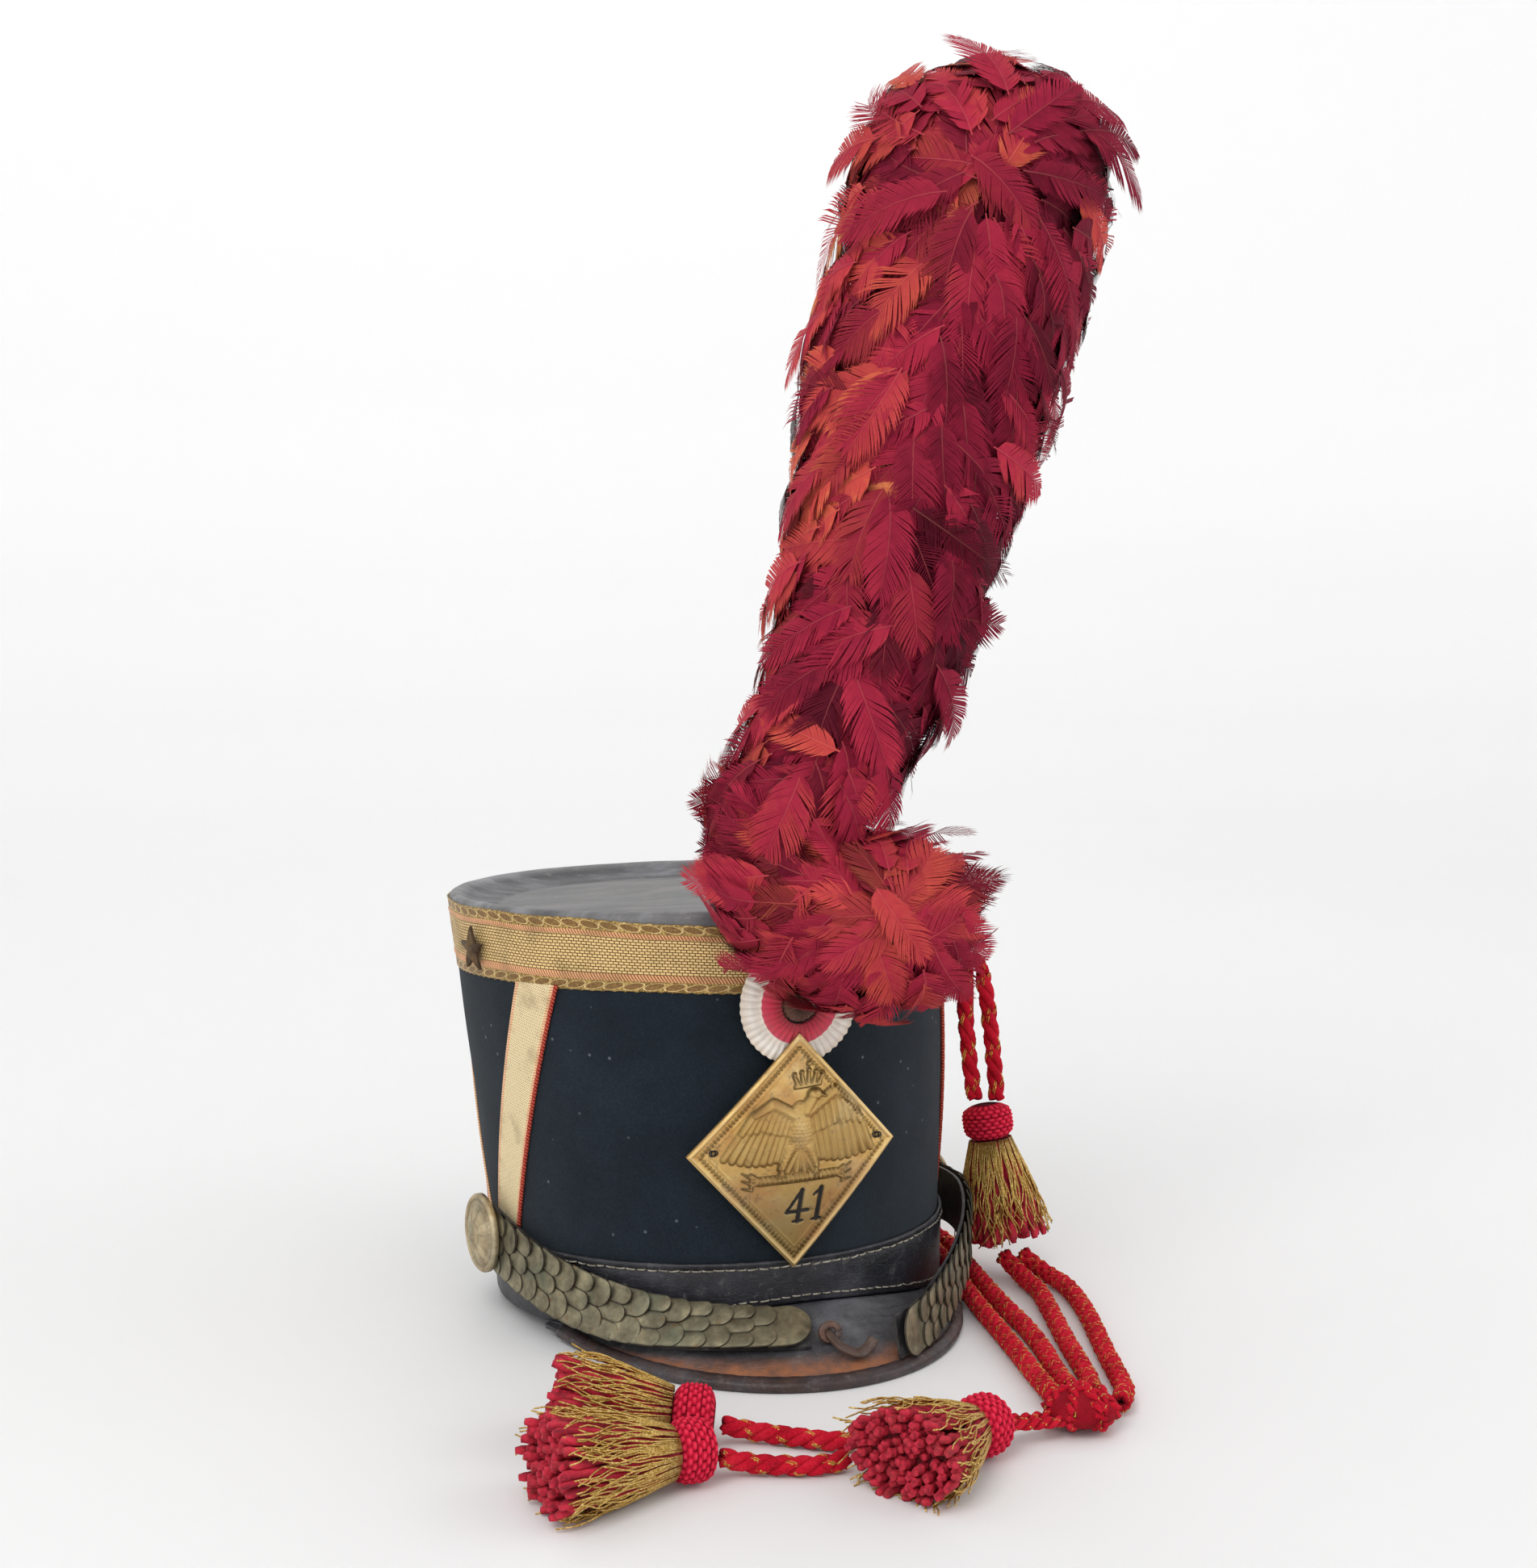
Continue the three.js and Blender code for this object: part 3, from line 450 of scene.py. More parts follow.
def twisted(pile, line, diameter, plies, pitch, turn=0.0, goldThread=(0.0,), sides=8, step=1.5):
    count = max(int(lengthOf(line) / step), 8)
    line = evenly(line, count)
    reach = np.linspace(0, lengthOf(line), count)
    side, up = alongPaths(line)
    strand = diameter * (0.262 if plies > 2 else 0.27)
    for ply in range(plies):
        spin = turn + 2 * math.pi * (reach / pitch + ply / plies)
        across = side * np.cos(spin)[:, None] + up * np.sin(spin)[:, None]
        path = line + across * (diameter / 2 - strand)
        thick = strand * (1 + 0.05 * np.sin(reach * 2.1 + ply))
        points, faces, first, last = tubes(path, thick, sides)
        # height: how far a strand's surface stands out from the cord's middle; the wool finish paints shade
        # where it is low
        rise = (((points - np.repeat(line, sides, 0)) ** 2).sum(1) ** 0.5) / (diameter / 2)
        pile.add(points, faces, first, last, height=np.clip(rise * 1.5 - 0.5, 0, 1), gold=0.0)
        for shift in goldThread:  # gold threads wind round each strand and show as dashes
            own = shift - 2 * math.pi * reach / (pitch * 0.62)
            lift = (side * np.cos(own)[:, None] + up * np.sin(own)[:, None]) * (strand - 0.12)
            points, faces, first, last = tubes(path + lift, 0.48, 3)
            pile.add(points, faces, first, last, height=1.0, gold=1.0)


def braided(pile, line, diameter, seed):
    count = int(lengthOf(line) / cordLook["braidStep"])
    line = evenly(line, count)
    reach = np.linspace(0, lengthOf(line), count)
    side, up = alongPaths(line)
    chance = np.random.default_rng(seed)
    plies = 4
    for way in (1, -1):
        for ply in range(plies):
            turn = reach / cordLook["braidPitch"] + ply / plies
            weave = np.sin(2 * math.pi * (turn * 2 * plies / 2 + (0.25 if way > 0 else 0.75)))
            spin = way * 2 * math.pi * turn + 0.4
            radius = diameter / 2 - 1.75 + 0.45 * weave
            path = line + (side * np.cos(spin)[:, None] + up * np.sin(spin)[:, None]) * radius[:, None]
            points, faces, first, last = tubes(path, 1.75, 6)
            # height: how far a strand's surface stands out from the cord's middle; the wool finish paints
            # shade where it is low
            rise = np.linalg.norm(points - np.repeat(line, 6, 0), axis=1) / (diameter / 2)
            pile.add(points, faces, first, last, height=np.clip(rise * 2 - 1, 0, 1), gold=0.0)
            if ply % 2 == 0 or way > 0:  # a pair of gold threads shows where its strand lies on top
                for shift in (-0.15, 0.15):
                    spun = spin + shift
                    above = (side * np.cos(spun)[:, None] + up * np.sin(spun)[:, None])
                    shown = np.clip(weave + 0.25 + chance.normal(0, 0.08, count), 0, 1)
                    path = line + above * (diameter / 2 - 0.95 + 0.85 * shown)[:, None]
                    points, faces, first, last = tubes(path, 0.5, 3)
                    pile.add(points, faces, first, last, height=1.0, gold=1.0)


def layCords():
    for index, (name, route) in enumerate(ropeRoutes.items()):
        pile, line = Pile(), curveThrough(route, 120)
        twisted(pile, line, cordLook["ropeDiameter"], 3, 30, turn=index * 1.1,
                goldThread=(0.0, 0.5), sides=10)
        pile.piece(name + "Twist", redWool, "red_cord", name)
    for index, (name, route) in enumerate(cordRoutes.items()):
        pile, line = Pile(), curveThrough(route, 200)
        braided(pile, line, cordLook["diameter"], index)
        pile.piece(name + "Braid", redWool, "red_cord", name)
    for index, (name, route) in enumerate(tasselCordRoutes.items()):
        pile, line = Pile(), curveThrough(route, 120)
        twisted(pile, line, cordLook["tasselDiameter"], 3, 24, turn=index * 0.7,
                goldThread=(0.0, 0.45), sides=10)
        pile.piece(name + "Twist", redWool, "red_cord", name)


def tieLoop():  # the ropes' upper ends meet in a loop, and a thin string goes on to the hook
    pile = Pile()
    line = curveThrough([[130.7, -20, 157.4], [131.4, -20.4, 162], [135.2, -21, 165.4], [139.2, -21.8, 162],
                         [140.1, -22, 157.4]], 60)
    twisted(pile, line, 7.6, 3, 24, goldThread=(0.0,), sides=8)
    string = curveThrough([[135, -22, 92], [134.6, -21, 120], [135, -20, 150], [134, -20.4, 164],
                           [129, -21, 174], [125, -21.4, 180]], 90)
    points, faces, first, last = tubes(string, 0.9, 6)
    pile.add(points, faces, first, last, height=0.8, gold=0.0)
    return pile.piece("ropeLoop", redWool, "red_cord")


layCords()
ropeLoop = tieLoop()
print("cords lie")


# ---- crown of felted cloth with a leather top ----

crown = {"wall": 3.0, "low": 3.0, "high": 189.6, "around": 150, "rows": 24, "wobble": 0.25,
         "clothTone": ("10171d", "1a232b", "28323c")}
leatherTop = {"around": 144, "points": 64, "sideFrom": 52, "dents": 0.9, "flatTone": "5f5e5e",
              "slopeTone": "3b3b3e", "rimTone": "6b6a6b"}


def clothFinish():
    cloth = Finish("darkFelt")
    nap = cloth.noise(0.0012, 4, 0.75)
    patches = cloth.noise(0.05, 4, 0.6)
    deep, middle, light = crown["clothTone"]
    colour = cloth.ramp(nap * 0.55 + patches * 0.45, (0.3, deep), (0.5, middle), (0.72, light))
    fade = cloth.noise(0.11, 2, 0.5, cloth.stretched(1, 1, 0.5)).clipped(0.5, 0.8)
    colour = cloth.blend(colour, "323b43", fade * 0.4)
    lint = cloth.cells(0.011).clipped(0.0, 0.09)
    colour = cloth.blend("767c84", colour, lint.most(0.35))
    hairs = cloth.noise(0.0006, 5, 0.8)
    return cloth.done(colour, 0.96, cloth.bumped(hairs + nap * 0.6, 0.0005, 0.5), **{
        "Sheen Weight": 0.08, "Sheen Roughness": 0.5, "Specular IOR Level": 0.15})


def leatherFinish(name, deep, middle, light, roughness=0.5, dust="8b8a86", dusty=0.2, grainSize=0.0011):
    hide = Finish(name)
    patches = hide.noise(0.03, 5, 0.65)
    colour = hide.ramp(patches, (0.32, deep), (0.52, middle), (0.7, light))
    scuffs = hide.noise(0.006, 5, 0.8).clipped(0.56, 0.7)
    colour = hide.blend(colour, dust, scuffs * dusty)
    worn = hide.mark("worn").clipped(0.0, 1.0)
    colour = hide.blend(colour, "9a6240", worn * (0.35 + 0.65 * hide.noise(0.008, 4).clipped(0.35, 0.6)))
    grain = hide.cells(grainSize, "SMOOTH_F1") * 0.6 + hide.noise(0.004, 4) * 0.8
    cracks = hide.cells(0.009, "DISTANCE_TO_EDGE", hide.stretched(1, 1, 2.5)).clipped(0.0, 0.06)
    gloss = roughness + 0.22 * patches + 0.15 * scuffs - 0.1
    return hide.done(colour, gloss, hide.bumped(grain + cracks * 0.5, 0.0004, 0.5))


def ringOfWall(pile, low, high, inner, outer, around, rows, wobble, seed):
    angles = np.arange(around) * 360 / around - 180
    share = np.linspace(0, 1, rows)
    heights = low + (high - low) * share[:, None] + 0 * angles[None]
    off = wobble * waves(onWall(angles[None], heights), seed, 60)
    outside = onWall(angles[None], heights, outer + off)
    inside = onWall(angles[None], heights, inner + off)[::-1]
    points = np.concatenate([outside, inside])
    pile.add(fromHat(points), grid(2 * rows, around, roundRows=True, roundColumns=True),
             around=np.tile(np.radians(angles) * 118, 2 * rows),
             share=np.repeat(np.concatenate([share, share[::-1]]), around))


def makeCrown():
    pile = Pile()
    ringOfWall(pile, crown["low"], crown["high"], -crown["wall"], 0, crown["around"], crown["rows"],
               crown["wobble"], 3)
    pile.piece("crownCloth", clothFinish(), "dark_cloth", "crown")


def lidFinish():
    hide = Finish("dustyLeather")
    across = hide.mark("across")
    patches = hide.noise(0.045, 5, 0.6, hide.stretched(1, 2.4, 1))
    flat = hide.ramp(patches, (0.3, "474646"), (0.5, leatherTop["flatTone"]), (0.7, "777573"))
    slope = hide.ramp(patches, (0.3, "2b2c30"), (0.52, leatherTop["slopeTone"]), (0.72, "77787c"))
    rim = hide.ramp(patches, (0.3, "4a4b4f"), (0.5, leatherTop["rimTone"]), (0.7, "8e9094"))
    colour = hide.blend(flat, slope, across.clipped(100.5, 103.5))
    colour = hide.blend(colour, rim, across.clipped(117.5, 121))
    colour = hide.blend(colour, "2a2a2c",
                        (1 - hide.mark("share")).clipped(0.35, 0.75) * hide.mark("side") * 0.7)
    streaks = hide.noise(0.004, 5, 0.75, hide.stretched(0.35, 1, 1)).clipped(0.55, 0.68)
    colour = hide.blend(colour, "a9a8a4", streaks * 0.28)
    grain = hide.cells(0.0013, "SMOOTH_F1") * 0.5 + hide.noise(0.005, 5) * 0.9
    return hide.done(colour, 0.42 + 0.25 * patches, hide.bumped(grain, 0.0005, 0.45))


def makeLid():
    edge = wallRadius(crownSize["widestAt"])
    top = curveThrough([[0.5, 197], [60, 197], [99, 196.9], [104, 197.4], [112, 198.8],
                        [118.4, 201.7], [121.6, 203.7],
                        [124.4, 204.1], [edge - 0.6, 202.6], [edge, crownSize["widestAt"]],
                        [wallRadius(190), 190]],
                       leatherTop["points"])
    low = np.array([[wallRadius(190) - 3, 190], [121, 196.2], [113, 195], [60, 194.8], [0.5, 194.7]])
    profile = np.concatenate([top, low])
    around = leatherTop["around"]
    angles = np.arange(around) * 360 / around
    points = aroundAxis(angles[None], profile[:, 1:2] * np.ones(around), profile[:, :1] * np.ones(around))
    amount = np.interp(top[:, 0], [0, 90, 103, 116, 122, 200], [1, 1, 0.35, 0.8, 0.3, 0.1])
    amount = np.concatenate([amount, np.zeros(len(low))])
    dents = waves(points, 8, 85) * leatherTop["dents"] + 0.22 * waves(points, 9, 16)
    isTop = np.arange(len(profile)) < leatherTop["points"]
    seam = -0.7 * np.exp(-((profile[:, :1] - 101.5) / 0.8) ** 2) * isTop[:, None]
    points[..., 2] += dents * amount[:, None] + seam
    side = (np.arange(len(profile)) > leatherTop["sideFrom"]) & isTop
    pile = Pile()
    rows = len(profile)
    pile.add(fromHat(points), grid(rows, around, roundColumns=True), np.arange(around)[None],
             np.arange(around)[None, ::-1] + (rows - 1) * around,
             across=np.repeat(profile[:, 0], around), side=np.repeat(side * 1.0, around),
             share=np.repeat(np.interp(profile[:, 1], [190, 200], [0, 1]), around))
    pile.piece("leatherTop", lidFinish(), "grey_leather", "crownTop")


makeCrown()
makeLid()
print("crown stands")

# ---- woven gold lace ----

lace = {"low": 167.6, "high": 201.8, "dip": 6.0, "around": 640, "rows": 32, "leafPitch": 9.5,
        "brick": (2.5, 1.45)}
zones = {"leafLow": 0.15, "cordLow": 0.25, "cordHigh": 0.775, "leafHigh": 0.845}


def laceDip(angle):
    return lace["dip"] * np.exp(-(angle / 32) ** 2)


# short bars of thread laid like bricks: how high the thread stands
def woven(gold, around, up, width, height):
    at = gold.node("ShaderNodeCombineXYZ", None, around, up)
    sizes = {"Mortar Size": 0.2 * height, "Mortar Smooth": 1.0, "Brick Width": width, "Row Height": height}
    mortar = gold.node("ShaderNodeTexBrick", {"offset": 0.5, "offset_frequency": 2, "squash": 1.0},
                       Vector=at, Scale=1.0, output="Fac", **sizes)
    return 1 - mortar


def laceFinish():
    gold = Finish("goldLace")
    around, share = gold.mark("around"), gold.mark("share")
    up = share * (lace["high"] - lace["low"])
    tarnish = gold.noise(0.018, 4, 0.6)
    bars = woven(gold, around, up, *lace["brick"])
    basket = gold.ramp(bars, (0.1, "5d4520"), (0.55, "b8904f"), (0.95, "ecc98a"))
    slant = (around * (6.2832 / 1.5) + up * 2.2).sine() * 0.5 + 0.5
    cord = gold.ramp(slant, (0.1, "b8663c"), (0.5, "dd9c68"), (0.9, "f2c896"))
    leaves = []
    for middle, lean in ((0.925, 0.10), (0.075, -0.14)):
        rise = (share - middle) * (lace["high"] - lace["low"])
        places = around * (1 / lace["leafPitch"]) + rise * lean
        along = gold.node("ShaderNodeMath", {"operation": "FRACT"}, places) - 0.5
        leaves.append((along * (lace["leafPitch"] / 4.4)) ** 2.0 + (rise * 0.52) ** 2.0)
    shape = leaves[0] * (share > 0.5) + leaves[1] * (share < 0.5)
    brown = gold.ramp(gold.noise(0.0012, 3), (0.3, "6b4a22"), (0.6, "8d6a38"), (0.75, "a8864e"))
    thread = gold.ramp(gold.noise(0.0008, 2), (0.3, "b08a46"), (0.6, "ecd294"))
    leaf = gold.blend(brown, thread, shape.clipped(0.74, 0.86) * (1 - shape.clipped(1.05, 1.2)))
    rough = gold.blend("7c5f2c", "c7a65e", gold.noise(0.0011, 3).clipped(0.45, 0.6))
    leaf = gold.blend(leaf, rough, shape.clipped(1.1, 1.25))
    isLeaf = (share < zones["leafLow"]) + (share > zones["leafHigh"])
    isCord = (share < zones["cordLow"]) + (share > zones["cordHigh"])
    colour = gold.blend(gold.blend(basket, cord, isCord), leaf, isLeaf)
    colour = gold.blend(colour, "6a5428", (tarnish.clipped(0.5, 0.75)) * 0.5)
    height = bars * (1 - isCord) + slant * isCord * (1 - isLeaf) + (shape.clipped(0.6, 0.9) * isLeaf) * 0.5
    return gold.done(colour, 0.62 - 0.18 * bars, gold.bumped(height, 0.0005, 0.9), metallic=0.25)


def makeLace():
    around, rows, tall = lace["around"], lace["rows"], lace["high"] - lace["low"]
    angles = np.arange(around) * 360 / around - 180
    share = np.linspace(0, 1, rows)[:, None]
    low = lace["low"] - laceDip(angles) * 0.35 + 0.5 * np.sin(np.radians(angles * 9)) * 0.6
    high = lace["high"] - laceDip(angles) + 0.3 * np.sin(np.radians(angles * 14))
    heights = low + (high - low) * share
    mm = np.radians(angles) * 122
    relief = 0.45 * np.exp(-((share - 0.2) / 0.035) ** 2) + 0.45 * np.exp(-((share - 0.81) / 0.03) ** 2)
    inBasket = smooth(share, 0.25, 0.28) * (1 - smooth(share, 0.745, 0.775))
    width, height = lace["brick"]
    bars = np.sin(mm * 2 * math.pi / width) * np.sign(np.sin(share * tall * math.pi / height))
    relief = relief + 0.16 * inBasket * bars
    fray = 0.35 * np.sin(mm * 4.1) * ((share < 0.01) + (share > 0.99))
    off = 0.55 + relief + 0.12 * waves(onWall(angles[None], heights), 5, 40) + 0.2 * (share > 0.97)
    front = onWall(angles[None], heights + fray, off)
    back = onWall(angles[None], heights[[-1, 0]], 0.25)
    pile = Pile()
    pile.add(fromHat(np.concatenate([front, back])),
             grid(rows + 2, around, roundRows=True, roundColumns=True),
             around=np.tile(mm, rows + 2), share=np.repeat(np.concatenate([share[:, 0], [1, 0]]), around))
    pile.piece("topLaceWoven", laceFinish(), "gold_lace", "topLace")


strip = {"high": 168.4, "low": 37.0, "rows": 110, "halfWidth": 12.5, "columns": 21,
         "pipe": 1.05, "pipeSides": 8}
chevrons = {  # where each strip's middle meets the top lace and the boss, and which edge has piping
    "laceLeftFront": (-58, -82.6, 1), "laceLeftRear": (-125, -100.4, -1),
    "laceRightFront": (58, 82.6, -1), "laceRightRear": (125, 100.4, 1),
}


def stripFinish():
    gold = Finish("stripLace")
    across, up = gold.mark("across"), gold.mark("up")
    turned = across * 0.8 + up * 0.6
    other = across * -0.6 + up * 0.8
    bars = woven(gold, turned, other, 1.9, 1.05)
    weave = gold.ramp(bars, (0.1, "b48f4e"), (0.5, "f2cd90"), (0.95, "fff0c6"))
    ribs = (up * (6.2832 / 1.3)).sine() * 0.5 + 0.5
    border = gold.ramp(ribs, (0.2, "dea272"), (0.8, "fbd3a8"))
    edge = (across * across) > 104
    colour = gold.blend(weave, border, edge)
    colour = gold.blend(colour, "8f6f3c", gold.noise(0.014, 4).clipped(0.52, 0.75) * 0.45)
    return gold.done(colour, 0.58, gold.bumped(bars * (1 - edge) + ribs * edge * 0.7, 0.0004, 0.8),
                     metallic=0.25)


def pipingFinish():
    wool = Finish("redPiping")
    ribs = (wool.mark("along") * (6.2832 / 1.7) + wool.mark("turn") * 2.0).sine() * 0.5 + 0.5
    colour = wool.ramp(ribs * 0.6 + wool.noise(0.002, 3) * 0.4, (0.25, "7c1c1c"), (0.55, "b8372a"),
                       (0.85, "db6a44"))
    return wool.done(colour, 0.85, wool.bumped(ribs, 0.0003, 0.7))


def makeChevrons():
    gold, red = stripFinish(), pipingFinish()
    rows, columns, sides = strip["rows"], strip["columns"] + 2, strip["pipeSides"]
    pipes = Pile()
    for name, (topAngle, bottomAngle, outer) in chevrons.items():
        pile = Pile()
        heights = np.linspace(strip["high"], strip["low"], rows)[:, None]
        turned = (bottomAngle - topAngle) * (strip["high"] - heights)
        middle = topAngle + turned / (strip["high"] - strip["low"])
        across = np.linspace(-strip["halfWidth"], strip["halfWidth"], strip["columns"])[None]
        bulge = 0.14 * np.sin(across * 2 * math.pi / 1.9 + heights * 2.4) * (np.abs(across) < 10.2)
        edge = 0.35 * np.exp(-((np.abs(across) - 11.3) / 0.9) ** 2)
        angles = middle + np.degrees(across / wallRadius(heights))
        face = onWall(angles, heights * np.ones_like(across), 0.85 + bulge + edge)
        rim = np.concatenate([face[:, :1] * 0 + onWall(angles[:, :1], heights, 0.2), face,
                              onWall(angles[:, -1:], heights, 0.2)], 1)
        acrossAll = np.concatenate([across[:, :1], across, across[:, -1:]], 1) * np.ones_like(heights)
        pile.add(fromHat(rim), grid(rows, columns, roundColumns=True), across=acrossAll,
                 up=heights * np.ones((1, columns)))
        pile.piece(name + "Woven", gold, "gold_lace", name)
        up = heights[:, 0]
        edgeAngle = middle[:, 0] + np.degrees(outer * (strip["halfWidth"] + 0.9) / wallRadius(up))
        line = fromHat(onWall(edgeAngle, up, strip["pipe"]))
        points, faces, first, last = tubes(line, strip["pipe"] + 0.06 * np.sin(np.arange(rows) * 1.3),
                                           sides)
        pipes.add(points, faces, first, last, along=np.repeat(up, sides),
                  turn=np.tile(np.arange(sides) * 0.785, rows))
    pipes.piece("redPiping", red, "red_cord")


makeLace()
makeChevrons()
print("lace sewn")

# ---- leather band, peak and stitches ----

band = {"high": 36.6, "thickness": 2.0, "around": 240, "press": 1.2, "upperSeam": 33.2, "stitchLength": 4.3,
        "stitchPitch": 5.2, "stitchRadius": 114.5}
peakSize = {"arch": 68, "archHeight": 15, "reach": 45, "skew": 3, "thickness": 2.6, "edgeHeight": 2.3,
            "wrinkles": 0.32, "across": 150, "rows": 30, "edgingAcross": 170}

blackLeather = leatherFinish("blackLeather", "17181c", "2a2b31", "45464c", 0.46, dusty=0.35)
peakLeather = leatherFinish("peakLeather", "2b2b2e", "424246", "646468", 0.5, dusty=0.3)
strapLeather = leatherFinish("strapLeather", "1b1a1a", "2f2e2f", "4c4a49", 0.5, dusty=0.4)


def withinArch(angle):
    return np.cos(np.radians(90 * np.minimum(np.abs(angle) / peakSize["arch"], 1))) ** 2


def bandLow(angle):
    return peakSize["archHeight"] * withinArch(angle) - band["press"] * smooth(np.abs(angle), 60, 150)


def aboveFloor(points):
    points[..., 2] = np.maximum(points[..., 2], 0.03)
    return points


def makeBand():
    around = band["around"]
    angles = np.arange(around) * 360 / around - 180
    low, high = bandLow(angles), band["high"] + 0 * angles
    profile = np.array([[0.0, 0.35], [0.0, 1.9], [0.05, 2.3], [0.2, 2.15], [0.4, 2.0], [0.6, 2.05],
                        [0.78, 2.1], [0.85, 2.0],
                        [0.88, 1.55], [0.91, 2.15], [0.95, 2.6], [0.985, 2.55], [1.0, 1.9], [1.0, 0.35]])
    heights = low[None] + (high - low)[None] * profile[:, :1]
    off = profile[:, 1:2] + 0.35 * waves(onWall(angles[None], heights), 12, 34) * (profile[:, 1:2] > 1)
    points = onWall(angles[None], heights, off)
    pile = Pile()
    pile.add(aboveFloor(fromHat(points)), grid(len(profile), around, roundRows=True, roundColumns=True),
             worn=0.0)
    pile.piece("leatherBand", blackLeather, "black_leather", "lowerBand")


def threadFinish():
    thread = Finish("paleThread")
    colour = thread.ramp(thread.noise(0.003, 3), (0.35, "6e6a60"), (0.5, "989284"), (0.7, "bab4a4"))
    return thread.done(colour, 0.85, thread.bumped(thread.noise(0.0005, 3), 0.0002, 0.6))


def makeStitches():
    chance = np.random.default_rng(4)
    rows = []
    seams = ((180, lambda a: 0 * a + band["upperSeam"], 2.15), (63, lambda a: bandLow(a) + 3.2, 2.2))
    for angleEnd, heightAt, off in seams:
        step = np.degrees(band["stitchPitch"] / band["stitchRadius"])
        middles = np.arange(-angleEnd, angleEnd, step)
        half = np.degrees(band["stitchLength"] / 2 / band["stitchRadius"])
        share = np.array([-1, -0.8, -0.3, 0.3, 0.8, 1])
        lift = np.array([-0.5, 0.15, 0.42, 0.42, 0.15, -0.5])
        angles = middles[:, None] + share[None] * half * chance.uniform(0.85, 1.1, (len(middles), 1))
        drift = chance.normal(0, 0.12, (len(middles), 1))
        slant = chance.normal(0, 0.2, (len(middles), 1))
        heights = heightAt(angles) + drift + share[None] * slant
        raisedBy = off + lift[None] + 0.35 * waves(onWall(angles, heights), 12, 34)
        rows.append(fromHat(onWall(angles, heights, raisedBy)))
    pile = Pile()
    for paths in rows:
        pile.add(*tubes(paths, 0.42, 5))
    pile.piece("bandStitches", threadFinish(), "black_leather")


def peakSection(angle):
    sideways = np.clip((angle - peakSize["skew"]) / 70, -1, 1)
    reach = 4 + peakSize["reach"] * np.cos(np.radians(90 * sideways)) ** 2
    innerHeight = peakSize["archHeight"] * withinArch(angle) - 0.3 - peakSize["thickness"] * 0.6
    inner = onWall(angle, innerHeight, 0.3 + peakSize["thickness"] * 0.4)
    outer = aroundAxis(angle, 0 * angle, wallRadius(0) + reach)
    rise = peakSize["edgeHeight"] + 3 * smooth(np.abs(angle), 45, 66)
    tilt, radius = crownSize["tilt"], crownSize["baseRadius"]
    outer[..., 2] = (rise + outer[..., 1] * math.sin(tilt) - radius * math.sin(tilt)) / math.cos(tilt)
    along = unit(outer - inner)
    turn = np.radians(angle)
    side = np.stack([np.cos(turn), np.sin(turn), 0 * turn], -1)
    through = -np.cross(side, along)
    return inner, outer, along, through * np.sign(through[..., 2:3])


def makePeak():
    across = peakSize["across"]
    angles = np.linspace(-66, 66, across)
    inner, outer, _, through = peakSection(angles)
    share = np.linspace(0, 1, peakSize["rows"])[:, None, None]
    crowned = 1.6 * np.sin(math.pi * share) * withinArch(angles)[None, :, None]
    sheet = inner + (outer - inner) * share + through * crowned
    reach = np.linalg.norm(outer - inner, axis=-1)[None, :, None] * share
    ripples = np.sin(reach[..., 0] * 1.15 + 2.2 * waves(sheet, 21, 40))
    creases = ripples * smooth(share[..., 0], 0.05, 0.3) * (1 - smooth(share[..., 0], 0.7, 0.95))
    lift = (peakSize["wrinkles"] * creases * (0.4 + smooth(angles, -10, 30))
            + 0.35 * waves(sheet, 22, 30))[..., None]
    lift = lift * smooth(share, 0.0, 0.1)
    half = peakSize["thickness"] / 2
    top, under = sheet + through * (half + lift), sheet - through * half
    worn = smooth(share[..., 0], 0.62, 0.86) * (1 - smooth(angles, 8, 34))[None] * smooth(angles, -62, -50)
    points = np.concatenate([top, under[::-1]])
    pile = Pile()
    rows = len(points)
    ends = np.arange(rows)[None]
    pile.add(aboveFloor(fromHat(points)), grid(rows, across, roundRows=True), ends * across,
             ends[:, ::-1] * across + across - 1,
             worn=np.concatenate([worn, worn[::-1] * 0]))
    pile.piece("peakLeather", peakLeather, "black_leather", "peak")


def makeBinding():
    across = peakSize["edgingAcross"]
    _, outer, along, through = peakSection(np.linspace(-60.5, 60.5, across))
    turn = np.radians(np.linspace(90, -90, 9))
    rounded = [(2.3 * np.cos(t), 2.75 * np.sin(t)) for t in turn]
    over = [(-4.6, 2.2), (-4.4, 2.75), (-2, 2.8)]
    under = [(-2, -2.8), (-4.4, -2.7), (-4.4, -1.7), (0.3, -1.5), (0.3, 1.6), (-4.4, 1.7)]
    section = over + rounded + under
    ripple = 0.14 * np.sin(np.arange(across) * 1.7) + 0.1 * np.sin(np.arange(across) * 0.77)
    rings = np.stack([outer + along * u + through * (w + (ripple[:, None] if w > 1.8 else 0))
                      for u, w in section])
    count = len(section)
    pile = Pile()
    pile.add(aboveFloor(fromHat(rings)), grid(count, across, roundRows=True),
             np.arange(count)[None] * across,
             np.arange(count)[None, ::-1] * across + across - 1, worn=0.12)
    pile.piece("peakEdging", blackLeather, "black_leather", "peakBinding")


makeBand()
makeStitches()
makePeak()
makeBinding()
print("band and peak sewn")

# ---- chin straps with brass scales ----

